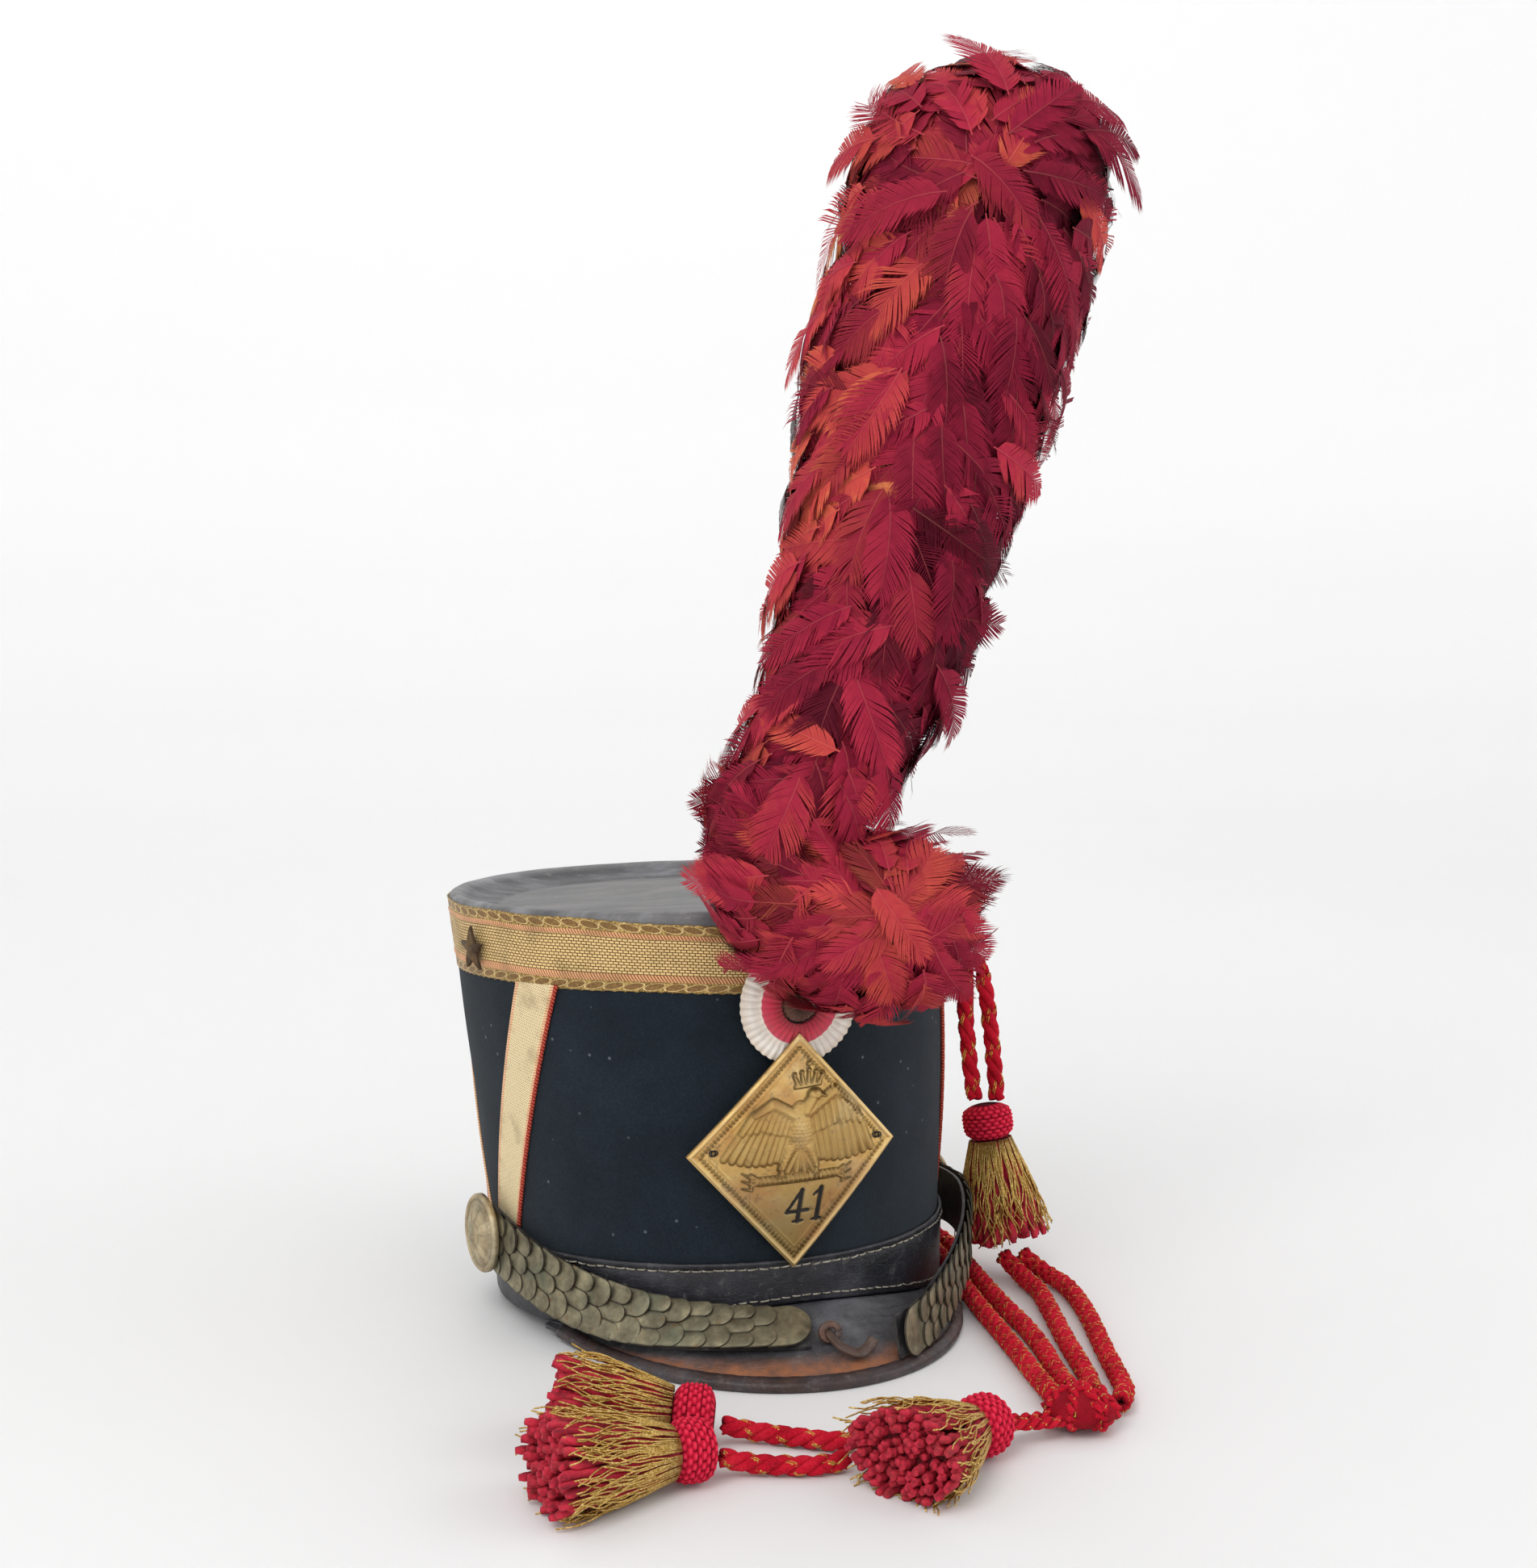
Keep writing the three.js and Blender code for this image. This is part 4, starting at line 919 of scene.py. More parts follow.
leftStrap = [  # angle, height, radius, and how far the face leans back
    (-87, 37.6, 120.8, 0), (-79, 33.6, 120.4, 2), (-70, 28.6, 120.4, 5), (-59, 21.5, 120.8, 9),
    (-48, 16, 122.4, 18),
    (-38, 12, 125.2, 34), (-28, 10.2, 128.4, 48), (-18, 9.3, 131.4, 54), (-9, 8.6, 134.2, 57),
    (-1.6, 7.8, 136.6, 58)]
rightStrap = [
    (94, 31.5, 120.4, 0), (83, 32.5, 123, -3), (73, 32, 126, -4), (63, 28.5, 128, -2), (53, 22.5, 130, 0),
    (44, 16, 132, 2),
    (36.5, 12, 135, 3), (30, 9.5, 139.5, 4), (24, 7.6, 145, 5), (18, 5.6, 151, 6), (12.5, 4.2, 156, 6)]
scale = {"pairs": 8, "length": 15.4, "rise": 0.13, "lift": 1.2, "first": 8.0, "endLength": 21.0,
         "thickness": 0.8, "dome": 0.5}


strapSteps, strapWidth, strapTaper = 900, 30, 7.5


class Strap:
    def __init__(self, table):
        table = np.array(table, float)
        self.way = np.sign(table[0, 0])
        places = aroundAxis(table[:, 0], table[:, 1], table[:, 2])
        dense = curveThrough(np.column_stack([places, table[:, 3]]), strapSteps)
        reach = np.concatenate([[0], np.cumsum(np.linalg.norm(np.diff(dense[:, :3], axis=0), axis=1))])
        wanted = np.linspace(0, reach[-1], strapSteps)
        self.length = reach[-1]
        self.line = np.stack([np.interp(wanted, reach, dense[:, k]) for k in range(4)], -1)

    def frame(self, share):
        at = np.clip(share, 0, 1) * (strapSteps - 2)
        i = int(min(at, strapSteps - 3))
        point = self.line[i, :3] + (self.line[i + 1, :3] - self.line[i, :3]) * (at - i)
        along = unit(self.line[min(i + 4, strapSteps - 1), :3] - self.line[max(i - 4, 0), :3])
        lay = math.radians(self.line[i, 3])
        upright = unit(np.array([0, 0, 1.0]) - along * along[2])
        flatOut = np.cross(upright, along) * self.way
        out = flatOut * math.cos(lay) + upright * math.sin(lay)
        return point, along, out, upright * math.cos(lay) - flatOut * math.sin(lay)


def brassFinish(name, deep, middle, light, green, roughness=0.42, marked=True):
    brass = Finish(name)
    patches = brass.noise(0.009, 5, 0.65)
    colour = brass.ramp(patches, (0.3, deep), (0.5, middle), (0.7, light))
    colour = brass.blend(colour, green, brass.noise(0.016, 3).clipped(0.5, 0.68) * 0.55)
    rim = (1 - brass.mark("rim")).clipped(0.3, 1.0) * marked
    colour = brass.blend(colour, "2a2118", rim * 0.8)
    rust = brass.noise(0.004, 4, 0.7).clipped(0.58, 0.7)
    colour = brass.blend(colour, "8a5a30", rust * 0.4)
    pits = brass.noise(0.0016, 4, 0.7)
    return brass.done(colour, roughness + 0.2 * patches + 0.15 * rust, brass.bumped(pits, 0.0003, 0.35),
                      metallic=0.75 - 0.4 * rim)


agedBrass = brassFinish("agedBrass", "55503f", "7d7660", "a39a7c", "6d7461")


def lobe(pile, strap, start, middle, width, length, tip):
    shareStart = start / strap.length
    point, _, _, _ = strap.frame(shareStart)
    _, along, out, across = strap.frame(shareStart + 7 / strap.length)
    half = width / 2
    w = np.sin(np.linspace(-math.pi / 2, math.pi / 2, 13)) * half
    end = length - tip + tip * np.sqrt(np.clip(1 - (w / half) ** 2, 0, 1))
    s = np.array([0, 0.3, 0.55, 0.72, 0.84, 0.92, 0.97, 1.0])[:, None]
    u = s * end[None]
    rim = np.minimum((half - np.abs(w))[None], (end[None] - u) * 1.2)
    dome = scale["dome"] * (1 - np.exp(-rim / 1.6)) - 0.1
    top = 0.75 + scale["lift"] + scale["rise"] * u + scale["thickness"] + dome
    low = 0.75 + scale["lift"] + scale["rise"] * u + 0 * dome
    sides = np.stack([top, low])
    marks = np.stack([np.clip(rim / 1.1, 0, 1), 0 * rim])
    flat = point + along * u[None, ..., None] + across * (middle + w)[None, None, :, None]
    points = flat + out * sides[..., None]
    rows, columns = s.shape[0], len(w)
    faces = grid(rows, columns)
    bottom = faces[:, ::-1] + rows * columns
    border = np.concatenate([np.arange(columns), np.arange(1, rows) * columns + columns - 1,
                             (rows - 1) * columns + np.arange(columns - 2, -1, -1),
                             np.arange(rows - 2, 0, -1) * columns])
    following = np.roll(border, -1)
    wall = np.stack([border, following, following + rows * columns, border + rows * columns], -1)
    pile.add(fromHat(points), faces, bottom, wall, rim=marks)


def makeStraps():
    for side, table in (("Left", leftStrap), ("Right", rightStrap)):
        strap = Strap(table)
        pitch = (strap.length - scale["first"] - scale["endLength"] + 1) / (2 * scale["pairs"])
        for pair in range(scale["pairs"]):
            pile = Pile()
            for row, lobes in ((0, 3), (1, 2)):
                start = scale["first"] + (2 * pair + row) * pitch
                width = strapWidth - strapTaper * start / strap.length
                each = width / lobes
                for i in range(lobes):
                    lobe(pile, strap, start, -width / 2 + each * (i + 0.5), each * 0.985,
                         scale["length"], each / 2)
            pile.piece(f"scaleRows{side}{pair + 1}", agedBrass, "aged_brass", f"scales{side}{pair + 1}")
        pile = Pile()
        start = strap.length - scale["endLength"] + 1
        width = strapWidth - strapTaper * start / strap.length
        lobe(pile, strap, start, 0, width, scale["endLength"], width / 2)
        pile.piece(f"strapTip{side}", agedBrass, "aged_brass", f"endPlate{side}")
        makeBoss(side, strap)


bossSize = {"radius": 19.5, "petals": 10, "around": 96, "relief": 0.75}


def makeBoss(side, strap):
    point, along, out, across = strap.frame(3 / strap.length)
    radii = np.concatenate([np.linspace(0.3, 16.4, 26), [17, 17.6, 18.2, 18.8, 19.3, 19.5, 19.5]])
    height = np.interp(radii, [0, 5, 10, 15, 16.4, 17.2, 18.2, 19.1, 19.5],
                       [6.4, 6.0, 4.7, 3.0, 2.5, 3.1, 3.6, 3.1, 2.3])
    height[-1] = 0.3
    turn = np.arange(bossSize["around"]) * 2 * math.pi / bossSize["around"]
    r, t = np.meshgrid(radii, turn, indexing="ij")
    petals = np.abs(np.cos(t * bossSize["petals"] / 2)) ** 0.7 * np.exp(-((r - 9.5) / 3.6) ** 2)
    ring = 0.5 * np.exp(-((r - 4.6) / 0.7) ** 2) * (0.5 + 0.5 * np.cos(t * 16))
    core = 0.8 * np.exp(-(r / 2.6) ** 2) + ring
    beads = 0.5 * np.exp(-((r - 15) / 0.6) ** 2) * (0.5 + 0.5 * np.cos(t * 40))
    z = height[:, None] + bossSize["relief"] * petals + core + beads
    z[-1] = 0.3
    centre = point + out * 4.7
    flat = centre + along * (r * np.cos(t))[..., None] + across * (r * np.sin(t))[..., None]
    points = flat + out * z[..., None]
    rim = np.clip(0.35 + 0.5 * petals + 0.5 * (r > 17) + beads + 0.5 * (r < 5), 0, 1)
    pile = Pile()
    rows, around = r.shape
    last = (np.arange(around) + (rows - 1) * around)[None, ::-1]
    if strap.way * np.dot(np.cross(along, across), out) < 0:
        last = last[:, ::-1]
    pile.add(fromHat(points), grid(rows, around, roundColumns=True), np.arange(around)[None], last, rim=rim)
    pile.piece("roundBoss" + side, bossBrass, "aged_brass", "boss" + side)


# a flat place on the wall: middle, right, up and outward
def seatAt(angle, height, off, turn=0.0, extra=0.0):
    pitch = math.atan((crownSize["topRadius"] - crownSize["baseRadius"]) / crownSize["height"]) + extra
    side = math.radians(angle)
    outward = np.array([math.sin(side) * math.cos(pitch), -math.cos(side) * math.cos(pitch),
                        -math.sin(pitch)])
    across = np.array([math.cos(side), math.sin(side), 0])
    up = np.cross(outward, across)
    turn = math.radians(turn)
    right = across * math.cos(turn) + up * math.sin(turn)
    return onWall(angle, height, off), right, up * math.cos(turn) - across * math.sin(turn), outward


def setIn(seat, x, y, z):
    x, y, z = (np.asarray(value)[..., None] for value in (x, y, z))
    middle, right, up, outward = seat
    return middle + right * x + up * y + outward * z


def makeStars():
    for side, angle in (("Left", -78), ("Right", 78)):
        seat = seatAt(angle, 181, 3)
        turn = np.pi / 2 + np.arange(10) * np.pi / 5
        radius = np.where(np.arange(10) % 2, 4.5, 11.5)
        rings = [(0.02, 3.0), (0.5, 2.3), (0.86, 1.15), (1.0, 0.5), (1.0, -0.8), (0.02, -0.8)]
        x = np.array([[r * s * math.cos(t) for r, t in zip(radius, turn)] for s, _ in rings])
        y = np.array([[r * s * math.sin(t) for r, t in zip(radius, turn)] for s, _ in rings])
        z = np.array([[h + (0.25 if i % 2 == 0 and 0 < k < 3 else 0) for i in range(10)]
                      for k, (_, h) in enumerate(rings)])
        pile = Pile()
        pile.add(fromHat(setIn(seat, x, y, z)), grid(6, 10, roundColumns=True), np.arange(10)[None],
                 np.arange(50, 60)[None, ::-1],
                 rim=np.repeat([1, 0.9, 0.6, 0.3, 0.2, 0.2], 10))
        pile.piece("smallStar" + side, starBrass, "aged_brass", "star" + side, shaded=False)


bossBrass = brassFinish("bossBrass", "8c7c5e", "b8a684", "d8caa8", "9a9a86")
starBrass = brassFinish("starBrass", "3c2f24", "5b4835", "7c6648", "5a4a38")
makeStraps()
makeStars()
print("straps laid")

# ---- front plate: an eagle of its own kind over a plain number ----

plate = {"halfWidth": 52.0, "halfHeight": 57.3, "bend": 200.0, "steps": 190}


def capsule(x, y, x0, y0, x1, y1, wide, tip=None):  # how far inside a round-ended stroke, 1 at its middle
    along = np.clip(((x - x0) * (x1 - x0) + (y - y0) * (y1 - y0))
                    / ((x1 - x0) ** 2 + (y1 - y0) ** 2 + 1e-9), 0, 1)
    away = np.hypot(x - x0 - along * (x1 - x0), y - y0 - along * (y1 - y0))
    return 1 - away / (wide + ((wide if tip is None else tip) - wide) * along)


def oval(x, y, cx, cy, wide, tall, turn=0.0):
    c, s = math.cos(math.radians(turn)), math.sin(math.radians(turn))
    u, v = (x - cx) * c + (y - cy) * s, (y - cy) * c - (x - cx) * s
    return 1 - np.hypot(u / wide, v / tall)


def raised(inside, height, sharp=0.8):
    return height * np.clip(inside, 0, 1) ** sharp


def wing(x, y, root, shoulder, elbow, tips, feathers=9):
    total = np.zeros_like(x)
    arm = [root, shoulder, elbow]
    for i in range(feathers):
        share = i / (feathers - 1)
        at = np.array(arm[0]) + (np.array(arm[1]) - arm[0]) * min(share * 1.6, 1)
        if share > 0.625:
            at = np.array(arm[1]) + (np.array(arm[2]) - arm[1]) * (share - 0.625) / 0.375
        tip = np.array(tips[0]) + (np.array(tips[1]) - tips[0]) * share ** 1.15
        tip = tip + np.array([0, -2.4 * math.sin(math.pi * share)])
        vane = capsule(x, y, *at, *tip, 2.7, 1.9)
        quill = np.clip(capsule(x, y, *at, *tip, 0.45, 0.3), 0, 1)
        total = np.maximum(total, raised(vane, 1.35 + 0.25 * (i % 2), 0.5) + 0.25 * quill)
        short = at + (tip - at) * 0.42
        total = np.maximum(total, raised(capsule(x, y, *at, *short, 2.5, 2.1), 2.1, 0.45))
    total = np.maximum(total, raised(capsule(x, y, *root, *shoulder, 4.0, 3.6), 2.9, 0.5))
    return np.maximum(total, raised(capsule(x, y, *shoulder, *elbow, 3.6, 2.2), 2.9, 0.5))


def eagle(x, y):
    left = wing(x, y, (-1.5, 17), (-12, 23.5), (-21, 19), ((-7, -2.5), (-35, -1.5)))
    right = wing(x, y, (4.5, 18), (18.5, 28), (27.5, 22), ((10, -3), (39, -2.5)))
    total = np.maximum(left, right)
    for tip in (-4.5, 0.0, 4.0, 8.5):
        total = np.maximum(total, raised(capsule(x, y, 1.5, 2, tip, -9.6, 2.2, 1.8), 1.6, 0.6))
    body = oval(x, y, 1.6, 11.5, 6.8, 13.5, 4)
    row = y / 1.9
    scales = 0.32 * np.abs(np.sin(x * 1.5 + 0.5 * np.floor(row) * math.pi)) * (1 - (row - np.floor(row)))
    total = np.maximum(total, raised(body, 3.7, 0.5) + scales * (body > 0.1))
    for knee, foot in (((-3.5, 2), (-7.5, -7.5)), ((6, 2), (9.5, -7.5))):
        leg = capsule(x, y, *knee, *foot, 3.6, 2.2)
        total = np.maximum(total, raised(leg, 2.9, 0.5) + scales * (leg > 0.1))
        for claw in (-2.4, 0.0, 2.4):
            total = np.maximum(total, raised(capsule(x, y, foot[0], foot[1] - 1, foot[0] + claw,
                                                     foot[1] - 6.2, 1.0, 0.7), 2.6, 0.5))
    total = np.maximum(total, raised(capsule(x, y, 4, 19.5, 7.2, 25.5, 4.2, 3.3), 3.6, 0.5))
    total = np.maximum(total, raised(oval(x, y, 8.2, 27.2, 4.0, 3.5), 3.9, 0.45))
    total = np.maximum(total, raised(capsule(x, y, 10.6, 27.6, 14.2, 26.2, 1.5, 0.6), 3.2, 0.5))
    total = np.maximum(total, raised(capsule(x, y, 13.6, 26.6, 14.3, 24.7, 0.9, 0.3), 2.6, 0.5))
    return total - 0.5 * np.clip(oval(x, y, 8.9, 28.1, 0.7, 0.7), 0, 1)


def crownSign(x, y):
    total = raised(capsule(x, y, -1.2, 31.6, 10.6, 32.6, 1.3), 1.6, 0.5)
    for tip, lean in ((-1.6, -1.8), (1.8, -0.9), (5, 0), (8.2, 0.9), (11.4, 1.8)):
        total = np.maximum(total, raised(capsule(x, y, 5 + (tip - 5) * 0.8, 32.6, tip + lean * 0.3,
                                                 38.4 - abs(lean), 1.35, 0.9), 1.5, 0.5))
        total = np.maximum(total, raised(oval(x, y, tip + lean * 0.3, 39.4 - abs(lean), 1.25, 1.25),
                                         1.9, 0.5))
    return np.maximum(total, raised(oval(x, y, 5, 42.6, 1.5, 1.5), 1.9, 0.5))


def fireBar(x, y):
    ridge = 0.35 * np.sin(x * 2 * math.pi / 2.3)
    bar = capsule(x, y, -18, -13.2, 20, -12.4, 2.4)
    total = raised(bar, 2.0, 0.5) + ridge * (bar > 0.15)
    for side, start in ((-1, -18), (1, 20)):
        for lift in (-1.3, 0.2, 1.7):
            middle = (start + side * 4.2, -12.8 + lift * 1.9)
            total = np.maximum(total, raised(capsule(x, y, start, -12.8, *middle, 1.2, 0.8), 1.5, 0.5))
            bent = (start + side * 3.6, -12.8 + lift * 1.9 - 1.9)
            total = np.maximum(total, raised(capsule(x, y, *middle, *bent, 0.8, 0.7), 1.4, 0.5))
            total = np.maximum(total, raised(capsule(x, y, *bent, start + side * 8.4, -12.8 + lift * 2.5,
                                                     0.7, 0.35), 1.3, 0.5))
    return total


def digits(x, y):  # 1 inside the pierced figures of the number 41
    strokes = [(3.4, -19.6, -4.2, -30.0, 0.95), (-4.2, -30.0, 6.6, -29.6, 1.0),
               (3.6, -19.6, 1.4, -34.6, 1.35),
               (-0.8, -34.7, 3.8, -34.5, 0.75), (13.4, -19.4, 11.0, -34.2, 1.4),
               (9.6, -22.4, 13.2, -19.6, 0.8),
               (8.6, -34.4, 13.2, -34.2, 0.75)]
    return np.max([np.clip(capsule(x, y, *stroke) * 6, 0, 1) for stroke in strokes], axis=0)


def plateFinish():
    brass = Finish("plateBrass")
    relief, rim, low = brass.mark("relief"), brass.mark("rim"), brass.mark("low")
    patches = brass.noise(0.02, 5, 0.62)
    colour = brass.ramp(patches, (0.3, "cba25a"), (0.5, "eac67e"), (0.7, "fbe4ac"))
    # painted reflection: the plate is darker towards its bottom, standing for darker reflected surroundings
    colour = brass.blend(colour, "7d6c45", low.clipped(0.0, 1.0) * 0.75)
    # painted reflection: reddish-brown patches standing for reflected surroundings; they also lower the
    # metal and raise the roughness
    paintedReflection = brass.noise(0.026, 4, 0.6).clipped(0.5, 0.62)
    colour = brass.blend(colour, "b27444", paintedReflection * 0.4)
    spots = brass.noise(0.005, 4, 0.7).clipped(0.56, 0.68)
    colour = brass.blend(colour, "5c4026", spots * 0.45)
    colour = brass.blend(colour, "ab8e58", brass.mark("drawn") * 0.45)
    colour = brass.blend(colour, "3d2c12", (1 - relief).clipped(0.1, 0.9) * 0.72)
    colour = brass.blend(colour, "f0d498", rim * 0.7)
    colour = brass.blend(colour, "0c0a09", brass.mark("hole"))
    scratches = brass.noise(0.003, 5, 0.8, brass.stretched(1, 1, 0.25))
    return brass.done(colour, 0.34 + 0.3 * patches + 0.25 * paintedReflection, brass.bumped(scratches, 0.0003, 0.3),
                      metallic=0.85 * (1 - brass.mark("hole")) - 0.3 * paintedReflection)


def makePlate():
    steps = plate["steps"]
    p, q = np.meshgrid(np.linspace(-1, 1, steps), np.linspace(-1, 1, steps), indexing="ij")
    hw, hh = plate["halfWidth"], plate["halfHeight"]
    x, y = hw * (p - q) / 2, hh * (p + q) / 2
    edge = (1 - np.maximum(np.abs(p), np.abs(q))) * hw * hh / math.hypot(hw, hh)
    beads = np.sin((p * (np.abs(q) > np.abs(p)) + q * (np.abs(p) >= np.abs(q))) * 118)
    rope = 0.9 * np.exp(-((edge - 4.5) / 0.9) ** 2) * (0.5 + 0.5 * beads)
    rims = 1.1 * np.exp(-((edge - 1.3) / 0.95) ** 2) + rope + 0.3 * np.exp(-((edge - 6.9) / 0.45) ** 2)
    picture = np.maximum(np.maximum(eagle(x, y), crownSign(x, y)), fireBar(x, y))
    picture = picture * smooth(edge, 0.4, 2.2)
    holes = digits(x, y)
    grain = 0.06 * waves(np.stack([x, y, 0 * x], -1), 31, 6)
    height = rims + picture - 0.9 * holes + grain
    z = 1 - x ** 2 / (2 * plate["bend"])
    seat = seatAt(-0.5, 90, 5.8, 0.3, math.radians(3))
    front = fromHat(setIn(seat, x, y, z + height))
    slope = np.hypot(*np.gradient(picture + rope * 1.5, 0.4))
    relief = np.clip(1.05 - 0.75 * slope + 0.06 * picture, 0, 1)
    border = np.concatenate([np.arange(steps), np.arange(1, steps) * steps + steps - 1,
                             (steps - 1) * steps + np.arange(steps - 2, -1, -1),
                             np.arange(steps - 2, 0, -1) * steps])
    back = fromHat(setIn(seat, x, y, z - 1.0)).reshape(-1, 3)[border]
    count, around = steps * steps, np.arange(len(border))
    wall = np.stack([border, np.roll(border, -1), np.roll(around, -1) + count, around + count], -1)
    pile = Pile()

    def onBoth(value):
        return np.concatenate([np.ravel(value), np.zeros(len(border))])

    # low marks how far down the plate a point lies, for the painted darker reflection at the bottom
    pile.add(np.concatenate([front.reshape(-1, 3), back]), grid(steps, steps)[:, ::-1],
             (around + count)[None],
             wall[:, ::-1], relief=onBoth(relief), drawn=onBoth(np.clip(picture * 2, 0, 1)),
             rim=onBoth(np.exp(-((edge - 1.3) / 0.9) ** 2)), hole=onBoth(holes),
             low=onBoth(smooth(-y, -5, 35)))
    pile.piece("embossedPlate", plateFinish(), "plate_brass", "frontPlate")
    pile = Pile()
    for cx, cy in ((-40, 2), (42, 3)):
        turn = np.linspace(0, 2 * math.pi, 14)
        for shift in (-0.5, 0.5):
            lift = 1 - cx ** 2 / (2 * plate["bend"]) + 1.1 + 0.3 * np.sin(turn * 2)
            path = setIn(seat, cx + shift + 1.6 * np.sin(turn), cy + 1.3 * np.cos(turn), lift)
            pile.add(*tubes(fromHat(path), 0.35, 5))
    pile.piece("plateThreads", blackThread, "black_leather")


def blackThreadFinish():
    thread = Finish("blackThread")
    return thread.done(thread.blend("101012", "2a292b", thread.noise(0.002, 3)), 0.8,
                       thread.bumped(thread.noise(0.0004, 3), 0.0002, 0.6))


blackThread = blackThreadFinish()
makePlate()
print("plate pressed")

# ---- cockade, thong and small fittings ----

rosette = {"pleats": 46, "redPleats": 34, "centrePleats": 18, "around": 368}


def ribbonFinish(name, stops):
    ribbon = Finish(name)
    at, fold = ribbon.mark("ring"), ribbon.mark("fold")
    colour = ribbon.ramp(at, *stops)
    stain = ribbon.noise(0.01, 4, 0.6).clipped(0.42, 0.68)
    colour = ribbon.blend(colour, "8f7058", stain * 0.18)
    # painted shade: darker in the valleys between pleats, where fold is low
    colour = ribbon.blend(colour, "5a3c30", (1 - fold).clipped(0.5, 1.0) * 0.25)
    lines = ribbon.noise(0.0011, 3, 0.6)
    return ribbon.done(colour, 0.7, ribbon.bumped(lines, 0.0002, 0.5), **{"Sheen Weight": 0.15})


def folds(turn, count, twist=0.0):  # 1 along each pleat's ridge and 0 between two pleats
    return np.abs(((turn * count / (2 * math.pi) + twist) % 1) * 2 - 1)


def makeCockade():
    seat = seatAt(1, 160.5, 4.9)
    around = rosette["around"]
    turn = np.arange(around) * 2 * math.pi / around
    radii = np.concatenate([[9.6], np.linspace(9.6, 19.2, 14), np.linspace(19.6, 29, 14), [29.0]])[:, None]
    white = radii > 19.4
    pleat = np.where(white, folds(turn, rosette["pleats"], radii * 0.01),
                     folds(turn, rosette["redPleats"], radii * 0.012))
    swell = np.where(white, np.interp(radii, [19.4, 24, 29], [1.5, 2.1, 1.2]),
                     np.interp(radii, [9.5, 14, 19.2], [3.4, 3.5, 2.3]))
    z = swell + 0.85 * (pleat - 0.5) * np.where(white, smooth(radii, 19, 23), 1)
    z[0], z[-1] = 0.1, 0.1
    out = radii + 0.5 * (pleat - 0.5) * (radii > 28)
    pile = Pile()
    rows = len(radii)
    x, y = out * np.cos(turn), out * np.sin(turn)
    pile.add(fromHat(setIn(seat, x, y, z)), grid(rows, around, roundRows=True, roundColumns=True),
             ring=np.repeat((radii[:, 0] - 9.5) / 19.5, around), fold=pleat * np.ones_like(x))
    tones = [(0.0, "a8243a"), (0.3, "d83450"), (0.49, "dc4864"), (0.51, "fbf4e6"), (0.8, "fffaf0"),
             (1.0, "ecdfcc")]
    pile.piece("pleatedRosette", ribbonFinish("rosetteRibbon", tones), "white_ribbon", "cockadeRosette")
    radii = np.concatenate([np.linspace(0.3, 9.0, 12), [9.1]])[:, None]
    pleat = folds(turn, rosette["centrePleats"])
    swell = np.interp(radii, [0, 2, 5, 8, 9.1], [3.9, 4.0, 4.4, 3.6, 0.2])
    z = swell + 0.9 * (pleat - 0.5) * smooth(radii, 0.5, 3) * (radii < 9.05)
    rows = len(radii)
    pile = Pile()
    pile.add(fromHat(setIn(seat, radii * np.cos(turn), radii * np.sin(turn), z)),
             grid(rows, around, roundColumns=True),
             np.arange(around)[None], np.arange(around)[None, ::-1] + (rows - 1) * around,
             ring=np.repeat(radii[:, 0] / 9.1, around), fold=pleat * np.ones_like(z))
    tones = [(0.0, "2d1812"), (0.6, "523024"), (1.0, "6b4636")]
    pile.piece("pleatedCentre", ribbonFinish("centreRibbon", tones), "brown_ribbon", "cockadeCentre")


thongRoute = [(1.6, 7.4, 139), (2.4, 2.2, 149), (5, -1.2, 154), (7.6, 0.4, 152), (9, 3.2, 151)]


def flatStrip(pile, line, width, thickness, leaning, **marks):
    forward = unit(np.gradient(line, axis=0))
    out = unit(leaning - forward * (forward * leaning).sum(-1, keepdims=True))
    side = np.cross(forward, out)
    corners = [(-0.5, -0.35), (-0.42, 0.5), (0.42, 0.5), (0.5, -0.35), (0.4, -0.5), (-0.4, -0.5)]
    rings = np.stack([line + side * a * width + out * b * thickness for a, b in corners], 1)
    count = len(line)
    pile.add(aboveFloor(rings), grid(count, 6, roundColumns=True), np.arange(6)[None, ::-1],
             np.arange(6)[None] + (count - 1) * 6, **marks)


def makeThong():
    pile = Pile()
    line = fromHat(curveThrough([aroundAxis(*row) for row in thongRoute], 50))
    upward = np.array([0.25, -0.5, 0.85])
    line[:, 2] += 1.0
    flatStrip(pile, line, 5.2, 1.7, upward, worn=0.25)
    knot = line[6] + np.array([0, 0, 1.2])
    turn = np.linspace(0, 2 * math.pi, 30)
    loop = knot + np.stack([4.2 * np.cos(turn), 1.2 * np.sin(turn), 3.4 * np.sin(turn)], -1)
    flatStrip(pile, loop, 3.4, 1.3, np.array([0.1, -0.8, 0.6]), worn=0.3)
    pile.piece("leatherThong", strapLeather, "black_leather", "tieThong")


keptParts = {"strapLeft": strapLeather, "strapRight": strapLeather, "plumeSleeve": blackLeather,
             "rearTab": blackLeather,
             "cordHook": brassFinish("hookBrass", "6b5a3c", "8d7950", "b39f74", "6d7461", marked=False)}


def dressKept():
    for name, finish in keptParts.items():
        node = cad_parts[name]
        node = node if hasattr(node, "data") else bpy.data.objects[name]
        node.data.materials.clear()
        node.data.materials.append(finish)


makeCockade()
makeThong()
dressKept()
print("fittings set")

# ---- plume ----

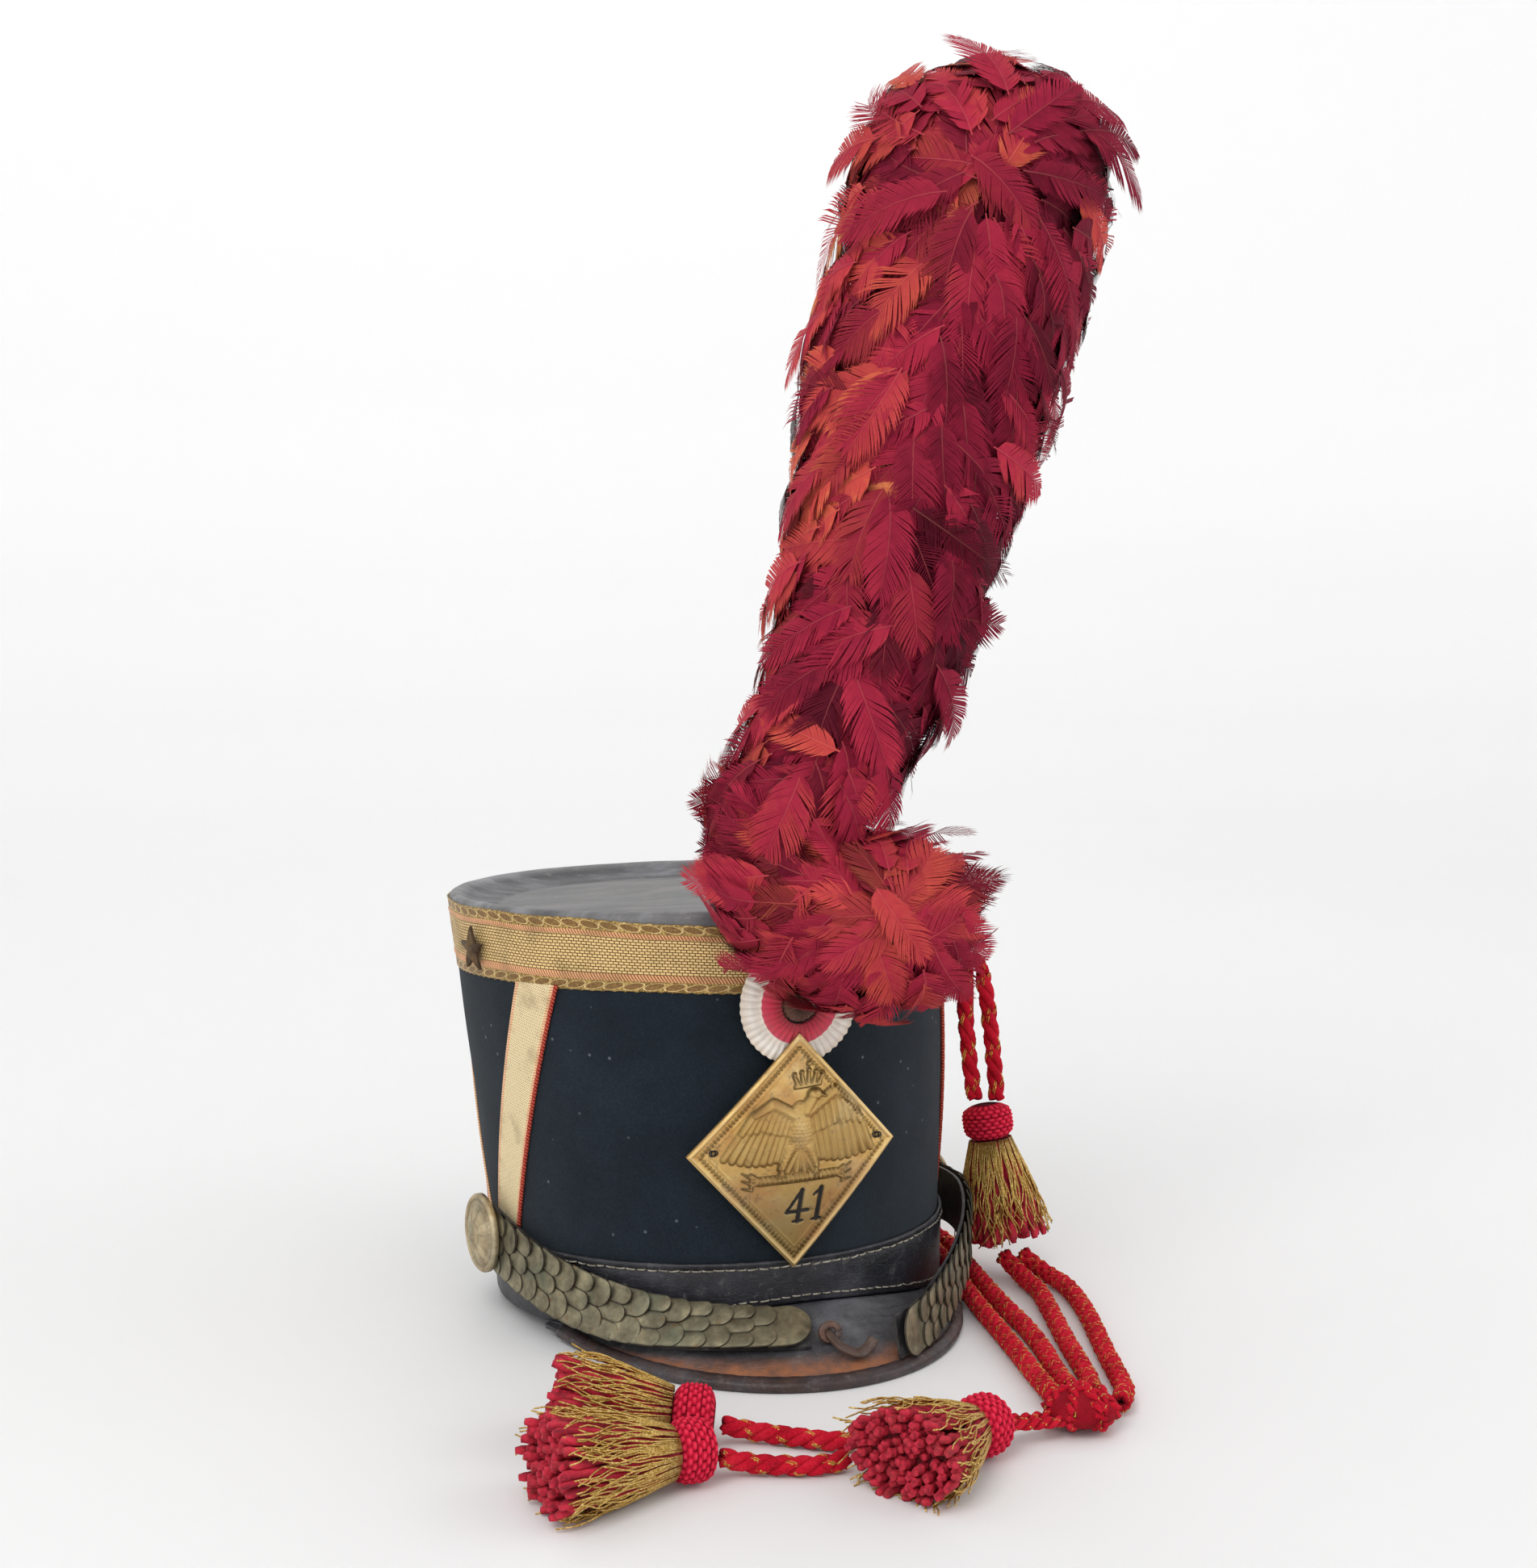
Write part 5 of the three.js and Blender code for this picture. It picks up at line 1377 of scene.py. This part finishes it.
plumeColumn = [  # x, y, z and radius
    (-22, -141, 246, 30), (-14, -140, 268, 38), (3, -139, 292, 43), (27, -133, 336, 51),
    (42, -126, 391, 57),
    (59, -120, 446, 62), (77, -115, 502, 66), (92, -110, 552, 66), (95, -109, 588, 52), (96, -108, 606, 22)]
plumeCurl = [
    (-34, -142, 268, 20), (-26, -144, 246, 36), (-12, -148, 222, 42), (12, -152, 212, 45),
    (36, -155, 215, 45), (54, -157, 221, 30)]
feather = {"inner": 520, "outer": 800, "curlInner": 170, "curlOuter": 290, "barbs": 36, "long": (31, 45),
           "wide": (19, 30),
           "inset": 3.5, "lift": (8, 30), "parting": (-0.30, -0.95, 0.0), "swirl": (12, -192, 222),
           "top": (66, -168, 548),
           "dome": (90, -110, 540), "loose": 0.1, "heart": 0.6}


def featherFinish():
    vane = Finish("redFeather")
    tint, share, shade = vane.mark("tint"), vane.mark("share"), vane.mark("shade")
    streak = vane.noise(0.004, 3, 0.6)
    colour = vane.ramp(tint * 0.8 + streak * 0.2 + share * 0.1, (0.12, "50081a"), (0.32, "861632"),
                       (0.52, "ac2840"),
                       (0.74, "c84c42"), (0.95, "dc8450"))
    # painted shade: deeper-lying feathers, the quills and the dark clumps between feathers are blended
    # towards dark maroon
    colour = vane.blend(colour, "360516", shade.clipped(0.0, 1.0) * 0.88)
    colour = vane.blend(colour, "d98a74", vane.mark("quill") * 0.1)
    return vane.done(colour, 0.75, vane.bumped(streak, 0.0002, 0.3), **{"Specular IOR Level": 0.12})


def feathers(pile, root, way, out, long, wide, droop, tint, shade, seed, splay=1.0):
    chance = np.random.default_rng(seed)
    count, barbs = len(root), feather["barbs"]
    way = unit(way)
    out = unit(out - way * (way * out).sum(-1, keepdims=True))
    side = np.cross(out, way)
    bend = chance.uniform(-0.28, 0.28, count)

    def quillAt(u):  # u: count x n
        u = u[..., None]
        return (root[:, None] + (way * long[:, None])[:, None] * u
                - (out * (droop * long)[:, None])[:, None] * u ** 2
                + (side * (bend * long)[:, None])[:, None] * u ** 2)

    def aheadAt(u):
        u = u[..., None]
        return unit(way[:, None] - 2 * u * (out * droop[:, None])[:, None]
                    + 2 * u * (side * bend[:, None])[:, None])

    steps = 7
    u = np.linspace(0, 0.97, steps)[None] * np.ones((count, 1))
    line, ahead = quillAt(u), aheadAt(u)
    width = np.linspace(0.4, 0.1, steps)[None, :, None]
    cross = side[:, None] - ahead * (ahead * side[:, None]).sum(-1, keepdims=True)
    ribbon = np.stack([line - cross * width, line + cross * width], 2) + out[:, None, None] * 0.25
    pile.add(ribbon, repeated(grid(steps, 2), count, steps * 2), tint=np.repeat(tint, steps * 2), share=0.0,
             shade=np.repeat(shade, steps * 2) * 0.6, quill=1.0)
    u = (0.05 + 0.95 * (np.arange(barbs) + 0.5) / barbs)[None] * np.ones((count, 1))
    for sign in (-1, 1):
        group = np.cumsum(chance.random((count, barbs)) < 0.1, axis=1)
        jitter = np.take_along_axis(chance.normal(0, 1, (count, barbs)), group, 1)
        lifted = np.take_along_axis(chance.normal(0, 1, (count, barbs)), group, 1)
        gap = np.take_along_axis(chance.random((count, barbs)), group, 1)
        tilt = np.radians(56 - 36 * u ** 1.8
                          + splay * (3 * jitter + 1.4 * chance.normal(0, 1, (count, barbs))))
        shape = np.interp(u, [0, 0.12, 0.35, 0.6, 0.85, 1], [0.4, 0.8, 1.05, 1.12, 0.9, 0.42])
        reach = (wide[:, None] / 2) * shape * np.interp(u, [0, 0.6, 1], [1.15, 1.2, 1.0])
        reach = reach * (1 - 0.25 * (gap > 0.94)) * chance.uniform(0.9, 1.08, (count, barbs))
        base, ahead = quillAt(u), aheadAt(u)
        cross = side[:, None] * sign
        cross = cross - ahead * (ahead * cross).sum(-1, keepdims=True)
        rise = out[:, None] * (0.12 * lifted)[..., None] * splay
        go = unit(ahead * np.cos(tilt)[..., None] + cross * np.sin(tilt)[..., None] + rise)
        half = (long[:, None] / barbs * (0.5 if splay < 2 else 0.3))[..., None]
        turned = unit(ahead - go * 0.5 * (ahead * go).sum(-1, keepdims=True))
        fall = out[:, None] * (reach * 0.14)[..., None]
        middle = base + go * (reach * 0.72)[..., None] - fall * 0.5
        tip = base + go * reach[..., None] - fall * 1.3 + ahead * 0.8
        points = np.stack([base - ahead * half, base + ahead * half, middle + turned * half * 0.95,
                           middle - turned * half * 0.95, tip], 2)
        stride = np.arange(count * barbs) * 5
        quads = stride[:, None] + np.array([0, 1, 2, 3])
        ends = stride[:, None] + np.array([3, 2, 4])
        every = count * barbs
        pile.add(points, quads, ends, tint=np.repeat(np.repeat(tint, barbs) + 0.05 * jitter.ravel(), 5),
                 share=np.tile([0.0, 0.0, 0.6, 0.6, 1.0], every),
                 shade=np.repeat(np.repeat(shade, barbs), 5), quill=0.0)


def alongTable(table, share, steps=400):
    dense = curveThrough(np.array(table, float), steps)
    at, places = share * (steps - 1), np.arange(steps)
    values = np.stack([np.interp(at, places, dense[:, k]) for k in range(4)], -1)
    return values, unit(np.stack([np.interp(at, places, np.gradient(dense[:, k])) for k in range(3)], -1))


def onTube(table, share, turn):
    at, forward = alongTable(table, share)
    front = np.array(feather["parting"])
    front = unit(front - forward * (forward @ front)[:, None])
    side = np.cross(forward, front)
    out = front * np.cos(turn)[:, None] + side * np.sin(turn)[:, None]
    return at[:, :3], at[:, 3], forward, front, side, out


def spun(way, axis, angle):
    angle = np.asarray(angle)[:, None]
    kept = axis * (axis * way).sum(-1, keepdims=True) * (1 - np.cos(angle))
    return way * np.cos(angle) + np.cross(axis, way) * np.sin(angle) + kept


def lookOf(points, out, chance):
    count = len(points)
    leftness = -(out @ np.array([0.91, -0.42, 0.0]))
    height = smooth(points[:, 2], 380, 600)
    tint = 0.33 + 0.22 * leftness + 0.08 * height + 0.20 * waves(points, 41,
        70) + chance.normal(0, 0.09, count)
    tint = tint + 0.2 * (chance.random(count) < 0.12 + 0.15 * (leftness > 0.3))
    return np.clip(tint, 0.02, 1.0)


def domed(surface, out):  # round the top the feathers lie over a dome
    high = smooth(surface[:, 2], 535, 570)[:, None]
    return unit(out * (1 - high) + unit(surface - np.array(feather["dome"])) * high)


def columnFeathers(seed, count, depth, lift, shadeAmount):
    chance = np.random.default_rng(seed)
    share = chance.random(count * 3)
    turn = chance.uniform(-math.pi, math.pi, count * 3)
    radius = alongTable(plumeColumn, share)[0][:, 3]
    keep = (chance.random(count * 3) < radius / 68) & ((np.cos(turn) > -0.35)
                                                       | (chance.random(count * 3) < 0.75))
    share, turn = share[keep][:count], turn[keep][:count]
    middle, radius, forward, front, side, out = onTube(plumeColumn, share, turn)
    surface = middle + out * (radius - feather["inset"])[:, None]
    sweep = np.sign(turn) * np.clip(np.abs(turn) / 0.55, 0, 1) * np.where(np.abs(turn) > 2.2, 0.45, 1)
    tangent = side * np.cos(turn)[:, None] - front * np.sin(turn)[:, None]
    out = domed(surface, out)
    down = np.array([0, 0, -1.0]) * 0.55 - forward * 0.45
    way = down * 0.85 + tangent * sweep[:, None] * 0.95
    topward = unit(surface - np.array(feather["top"]))
    high = smooth(surface[:, 2], 505, 552)[:, None]
    way = unit(way) * (1 - high) + topward * high * 1.3
    way = unit(way - out * (way * out).sum(-1, keepdims=True))
    way = spun(way, out, chance.normal(0, 0.34, len(share)))
    tint = lookOf(surface, out, chance)
    return rooted(surface, way, out, tint, depth, lift, shadeAmount, chance)


# a feather's middle lies where it was drawn
def rooted(surface, way, out, tint, depth, lift, shadeAmount, chance):
    count = len(surface)
    rise = np.radians(chance.uniform(*lift, count))[:, None]
    root = surface - way * chance.uniform(12, 20, (count, 1)) - out * chance.uniform(*depth, (count, 1))
    # painted shade: large dark patches between clumps of feathers, added to each layer's own painted shade
    shadeBetweenClumps = 0.8 * np.clip(waves(surface, 44, 34) - 0.05, 0, 1)
    shade = np.clip(shadeAmount + shadeBetweenClumps + chance.normal(0, 0.1, count), 0, 1)
    return root, way * np.cos(rise) + out * np.sin(rise), out, tint, shade, chance


def curlFeathers(seed, count, depth, lift, shadeAmount):
    chance = np.random.default_rng(seed)
    share, turn = chance.uniform(0.02, 1, count * 2), chance.uniform(-math.pi, math.pi, count * 2)
    middle, radius, _, _, _, out = onTube(plumeCurl, share, turn)
    clear = middle + out * (radius * 0.8)[:, None]
    keep = outsideHat(clear, 6)
    middle, radius, out = middle[keep][:count], radius[keep][:count], out[keep][:count]
    surface = middle + out * (radius - feather["inset"] + 1)[:, None]
    way = unit(surface - np.array(feather["swirl"]))
    way = unit(way - out * (way * out).sum(-1, keepdims=True) + np.array([0, 0, -0.12]))
    way = spun(way, out, chance.normal(0, 0.36, len(middle)))
    leftness = -(out @ np.array([0.91, -0.42, 0.0]))
    near = np.exp(-(np.linalg.norm(surface - np.array(feather["swirl"]), axis=1) / 26) ** 2)
    tint = 0.47 - 0.06 * leftness + 0.1 * near + 0.12 * waves(surface, 43, 50)
    tint = np.clip(tint + chance.normal(0, 0.09, len(middle)), 0.02, 1)
    return rooted(surface, way, out, tint, depth, lift, shadeAmount, chance)


def outsideHat(points, off):
    hat = toHat(points)
    away = np.hypot(hat[:, 0] - crownSize["lean"] * hat[:, 2], hat[:, 1])
    return (away > wallRadius(hat[:, 2]) + off) | (hat[:, 2] > crownSize["height"] + off)


def intoPieces(root, way, out, tint, shade, chance, seed, piles, borders, longer=1.0):
    count = len(root)
    long = chance.uniform(*feather["long"], count) * longer
    wide = chance.uniform(*feather["wide"], count) * longer
    droop = chance.uniform(0.35, 0.9, count)
    loose = chance.random(count) < feather["loose"]
    for i, pile in enumerate(piles):
        for isLoose in (False, True):
            chosen = (root[:, 2] >= borders[i]) & (root[:, 2] < borders[i + 1]) & (loose == isLoose)
            if chosen.any():
                feathers(pile, root[chosen], way[chosen], out[chosen],
                         long[chosen] * (1.15 if isLoose else 1),
                         wide[chosen], droop[chosen], tint[chosen], shade[chosen], seed + i + 50 * isLoose,
                         2.2 if isLoose else 1.0)


def makePlume():
    finish = featherFinish()
    core = Pile()
    sides = 28
    for table in (plumeColumn, plumeCurl):
        dense = curveThrough(np.array(table, float), 40)
        points, faces, first, last = tubes(dense[:, :3], dense[:, 3] * feather["heart"], sides)
        away = unit(points - np.repeat(dense[:, :3], sides, 0))
        points = points + away * (2.5 * waves(points, 51, 30))[:, None]
        # a dark core inside the plume, deep maroon and heavily shaded: painted shade behind the feathers
        core.add(points, faces, first, last, tint=0.15, share=0.0, shade=0.85, quill=0.0)
    columns = [Pile() for _ in range(4)]
    borders = [0, 352, 437, 510, 999]
    # the inner layer of feathers gets more painted shade than the outer one
    inner = columnFeathers(61, feather["inner"], (9, 16), feather["lift"], 0.5)
    outer = columnFeathers(62, feather["outer"], (2, 9), feather["lift"], 0.05)
    intoPieces(*inner, 70, columns, borders)
    intoPieces(*outer, 80, columns, borders)
    curl = Pile()
    # the curl's inner feathers likewise get more painted shade than its outer ones
    intoPieces(*curlFeathers(63, feather["curlInner"], (8, 14), feather["lift"], 0.45), 90, [curl],
               [0, 999], longer=0.85)
    intoPieces(*curlFeathers(64, feather["curlOuter"], (2, 8), feather["lift"], 0.04), 95, [curl],
               [0, 999], longer=0.85)
    core.piece("plumeHeart", finish, "red_feather", "plume")
    for name, pile in zip(("plumeLow", "plumeMiddle", "plumeHigh", "plumeTop"), columns):
        pile.piece(name, finish, "red_feather", "plume")
    curl.piece("plumeCurl", finish, "red_feather", "plume")


makePlume()
print("plume bound")

# ---- tassels and the knot ----

tassels = {  # where the head's top and the skirt's foot lie, and half the foot's width and height
    "Hanging": ([138, -31, 89.5], [145, -42, 18], 22.5, 22.5),
    "Side": ([36, -249, 13.4], [-24, -281, 18.5], 30, 19.5),
    "Front": ([-86.6, -233.6, 13.4], [-162, -243, 20.5], 26, 21),
    "Rear": ([-74, -203, 13.4], [-139, -176, 20], 22, 20.5),
}
tassel = {"headLength": 18.0, "headRadius": 13.5, "headGrid": (34, 90), "knitRows": 9, "neck": 10.5,
          "gap": 0.3, "wires": 160,
          "wireSteps": 14,
          "layers": [(0.93, 36), (0.76, 30), (0.57, 23), (0.37, 15), (0.17, 7)], "steps": 24,
          "innerSteps": 9,
          "sides": 5, "strand": 1.85, "pitch": 2.6}


def bullionFinish():
    gold = Finish("bullion")
    share, kind = gold.mark("share"), gold.mark("gold")
    fuzz = gold.noise(0.0012, 4, 0.7)
    # painted shade: the red is darker where height is low, in the grooves of each twisted strand and on the
    # dark core
    red = gold.ramp(fuzz * 0.6 + gold.mark("height") * 0.4, (0.2, "4c0714"), (0.45, "ae1430"),
                    (0.75, "dc3048"))
    red = gold.blend(red, "7a3a2c", gold.noise(0.006, 3).clipped(0.5, 0.7) * 0.3)
    glint = gold.noise(0.0009, 3)
    metal = gold.ramp(glint, (0.3, "94752f"), (0.5, "d4ac58"), (0.72, "fbe3a0"))
    colour = gold.blend(red, metal, kind)
    # painted shade under the knitted head: the skirt darkens towards its top
    colour = gold.blend(colour, "2a0a0c", (1 - share).clipped(0.8, 1.0) * 0.4)
    return gold.done(colour, 0.85 - 0.4 * kind, gold.bumped(fuzz, 0.0003, 0.6), metallic=kind * 0.65)


def knitFinish():
    wool = Finish("knitWool")
    fuzz = wool.noise(0.001, 4, 0.7)
    # painted shade: the knit's hollows, where height is low, are coloured darker
    colour = wool.ramp(fuzz * 0.45 + wool.mark("height") * 0.6, (0.25, "6c0a1a"), (0.5, "cc1838"),
                       (0.85, "ee3e58"))
    return wool.done(colour, 0.95, wool.bumped(fuzz, 0.0003, 0.6), **{"Specular IOR Level": 0.15})


def frameAlong(head, foot):
    along = unit(np.array(foot, float) - head)
    wide = unit(np.cross(along, [0, 0, 1.0])) if abs(along[2]) < 0.8 else unit(np.cross(along,
        [0.42, 0.91, 0.0]))
    return along, wide, np.cross(wide, along)


def makeHead(name, head, foot):
    along, wide, tall = frameAlong(head, foot)
    rows, around = tassel["headGrid"]
    at = np.linspace(0, 1, rows)[:, None]
    turn = (np.arange(around) * 2 * math.pi / around)[None]
    radius = tassel["headRadius"] * np.interp(at, [0, 0.04, 0.14, 0.3, 0.7, 0.86, 0.96, 1],
                                              [0.42, 0.62, 0.87, 0.96, 0.96, 0.88, 0.7, 0.6])
    stitches = tassel["knitRows"]
    knit = np.abs(np.sin(turn * stitches + np.floor(at * stitches) * math.pi / 2))
    knit = knit * np.abs(np.sin(at * stitches * math.pi)) ** 0.6
    radius = radius + 1.25 * (knit - 0.55) * np.sin(at * math.pi) ** 0.35
    points = (np.array(head) + along * (at * tassel["headLength"])[..., None]
              + wide * (radius * np.cos(turn))[..., None] + tall * (radius * np.sin(turn))[..., None])
    pile = Pile()
    # height: the knit's bumps, which the knit finish also uses for painted shade in its hollows
    pile.add(aboveFloor(points), grid(rows, around, roundColumns=True), np.arange(around)[None],
             np.arange(around)[None, ::-1] + (rows - 1) * around, height=knit * np.ones_like(radius))
    return pile.piece("knitHead" + name, knitWool, "red_cord", "tasselHead" + name)


def makeSkirt(name, head, foot, halfWide, halfTall, seed):
    chance = np.random.default_rng(seed)
    along, wide, tall = frameAlong(head, foot)
    neck = np.array(head) + along * (tassel["headLength"] + tassel["gap"])
    long = float(np.linalg.norm(np.array(foot) - neck))
    pile = Pile()

    def onCone(share, turn, layer):
        open = share ** 1.05
        x = (tassel["neck"] + (halfWide - tassel["neck"]) * open) * layer * np.cos(turn)
        y = (tassel["neck"] + (halfTall - tassel["neck"]) * open) * layer * np.sin(turn)
        return neck + along * (share * long)[..., None] + wide * x[..., None] + tall * y[..., None]

    rows, around = 8, 20  # a dark core behind the strands: painted shade in the gaps between them
    share, turn = np.meshgrid(np.linspace(0.0, 0.84, rows), np.arange(around) * 2 * math.pi / around,
                              indexing="ij")
    pile.add(aboveFloor(onCone(share, turn, 0.72)), grid(rows, around, roundColumns=True),
             np.arange(around)[None],
             np.arange(around)[None, ::-1] + (rows - 1) * around, height=0.0, gold=0.0, share=0.0)
    sides = tassel["sides"]
    for layer, count in tassel["layers"]:
        isOuter = layer > 0.9
        steps = tassel["steps" if isOuter else "innerSteps"]
        start = (np.arange(count) + chance.uniform(-0.25, 0.25, count)) * 2 * math.pi / count
        ends = chance.uniform(0.9, 1.0, count)
        share = np.linspace(0.02 if isOuter else 0.74, 1, steps)[None] * ends[:, None]
        wander = chance.normal(0, 0.05, (count, 1)) * share ** 2
        wander = wander + 0.02 * np.sin(share * 9 + chance.uniform(0, 6, (count, 1)))
        depth = layer - 0.05 * chance.random((count, 1)) * share
        paths = onCone(share, start[:, None] + wander, depth)
        paths = paths + chance.normal(0, 0.7, (count, 1, 3)) * (share ** 2)[..., None]
        reach = share * long
        thick = tassel["strand"] * np.interp(share / ends[:, None], [0, 0.15, 0.9, 0.97, 1],
                                             [0.6, 0.9, 1.0, 1.15, 0.75])
        points, faces, first, last = tubes(paths, thick, sides)
        ring = points.reshape(count, steps, sides, 3)
        middle = paths[:, :, None]
        corner = np.arange(sides) * 2 * math.pi / sides
        swell = 0.2 * np.sin(2 * math.pi * reach[..., None] / tassel["pitch"] - corner)
        ring = middle + (ring - middle) * (1 + swell)[..., None]
        pile.add(aboveFloor(ring.reshape(-1, 3)), faces, first, last,
                 height=np.clip(0.5 + 2.4 * swell, 0, 1),
                 gold=0.0, share=np.repeat(share, sides))
    wires, steps = tassel["wires"], tassel["wireSteps"]
    share = np.linspace(0.0, 1, steps)[None] * chance.uniform(0.62, 0.98, (wires, 1))
    bend, wave = chance.normal(0, 0.32, (wires, 1)), chance.uniform(0, 6.3, (2, wires, 1))
    turn = chance.uniform(0, 2 * math.pi, (wires, 1)) + bend * share ** 1.5
    turn = turn + 0.09 * share * np.sin(share * 15 + wave[0])
    stray = 1 + 0.16 * share ** 2 * (chance.random((wires, 1)) < 0.3)
    paths = onCone(share, turn, stray + 0.07 * share * np.sin(share * 13 + wave[1]))
    outward = unit(paths - (neck + along * (share * long)[..., None]))
    paths = paths + outward * (0.5 + 2.2 * np.sin(share * math.pi)[..., None])
    paths[..., 2] = np.maximum(paths[..., 2], 0.35)
    points, faces, first, last = tubes(paths, 0.4, 3)
    pile.add(points, faces, first, last, height=1.0, gold=1.0, share=np.repeat(share, 3))
    return pile.piece("bullionSkirt" + name, bullion, "bullion", "tasselSkirt" + name)


def makeKnot():
    pile = Pile()
    middle = np.array([82, -240, 9.4])
    rows, around = 22, 44
    at, turn = np.meshgrid(np.linspace(0.02, math.pi - 0.02, rows),
                           np.arange(around) * 2 * math.pi / around, indexing="ij")
    ball = np.stack([np.sin(at) * np.cos(turn), np.sin(at) * np.sin(turn), np.cos(at)], -1)
    points = middle + ball * [16.5, 16.5, 7.6]
    # the core ball gets a low height, so the wool finish paints it darker: painted shade inside the knot
    pile.add(aboveFloor(points), grid(rows, around, roundColumns=True)[:, ::-1],
             np.arange(around)[None, ::-1],
             np.arange(around)[None] + (rows - 1) * around, height=0.2, gold=0.0)
    turn = np.linspace(0, 2 * math.pi, 64)
    for lean, shift, rise in ((0.2, -9, 0), (0.5, -3, 0.6), (0.1, 3, 0.2), (-0.3, 9, -0.4), (1.5, 0, 0.4)):
        across = np.array([math.cos(lean + 0.9), math.sin(lean + 0.9), 0])
        ahead = np.array([-across[1], across[0], 0])
        size = math.sqrt(max(1 - (shift / 19) ** 2, 0.2))
        line = (middle + [0, 0, rise] + ahead * shift + across * (15.6 * size * np.cos(turn))[:, None]
                + np.array([0, 0, 1.0]) * (6.6 * size * np.sin(turn))[:, None])
        line[:, 2] = np.clip(line[:, 2], 3.1, 99)
        twisted(pile, line, 5.6, 2, 12, turn=lean, goldThread=(0.0,), sides=7, step=1.3)
    for side in (-1, 1):
        line = curveThrough([[84, -242 + 2 * side, 7], [68, -244.4 + 3.2 * side, 8],
                             [52, -246.4 + 3.0 * side, 9.6],
                             [38, -248.6 + 2.6 * side, 12.2]], 60)
        twisted(pile, line, 5.6, 2, 12, turn=side, goldThread=(0.0,), sides=7, step=1.3)
    pile.points = [aboveFloor(part) for part in pile.points]
    pile.piece("woolKnot", redWool, "red_cord", "cordKnot")


knitWool, bullion = knitFinish(), bullionFinish()
hangers = []
for index, (name, (top, end, halfWide, halfTall)) in enumerate(tassels.items()):
    made = [makeHead(name, top, end), makeSkirt(name, top, end, halfWide, halfTall, 100 + index)]
    hangers = hangers or made
makeKnot()

for name, route in {**ropeRoutes, **cordRoutes, **tasselCordRoutes}.items():
    line = toRow(curveThrough(route, 200))
    lengthOf(line)
print("tassels and knot tied")
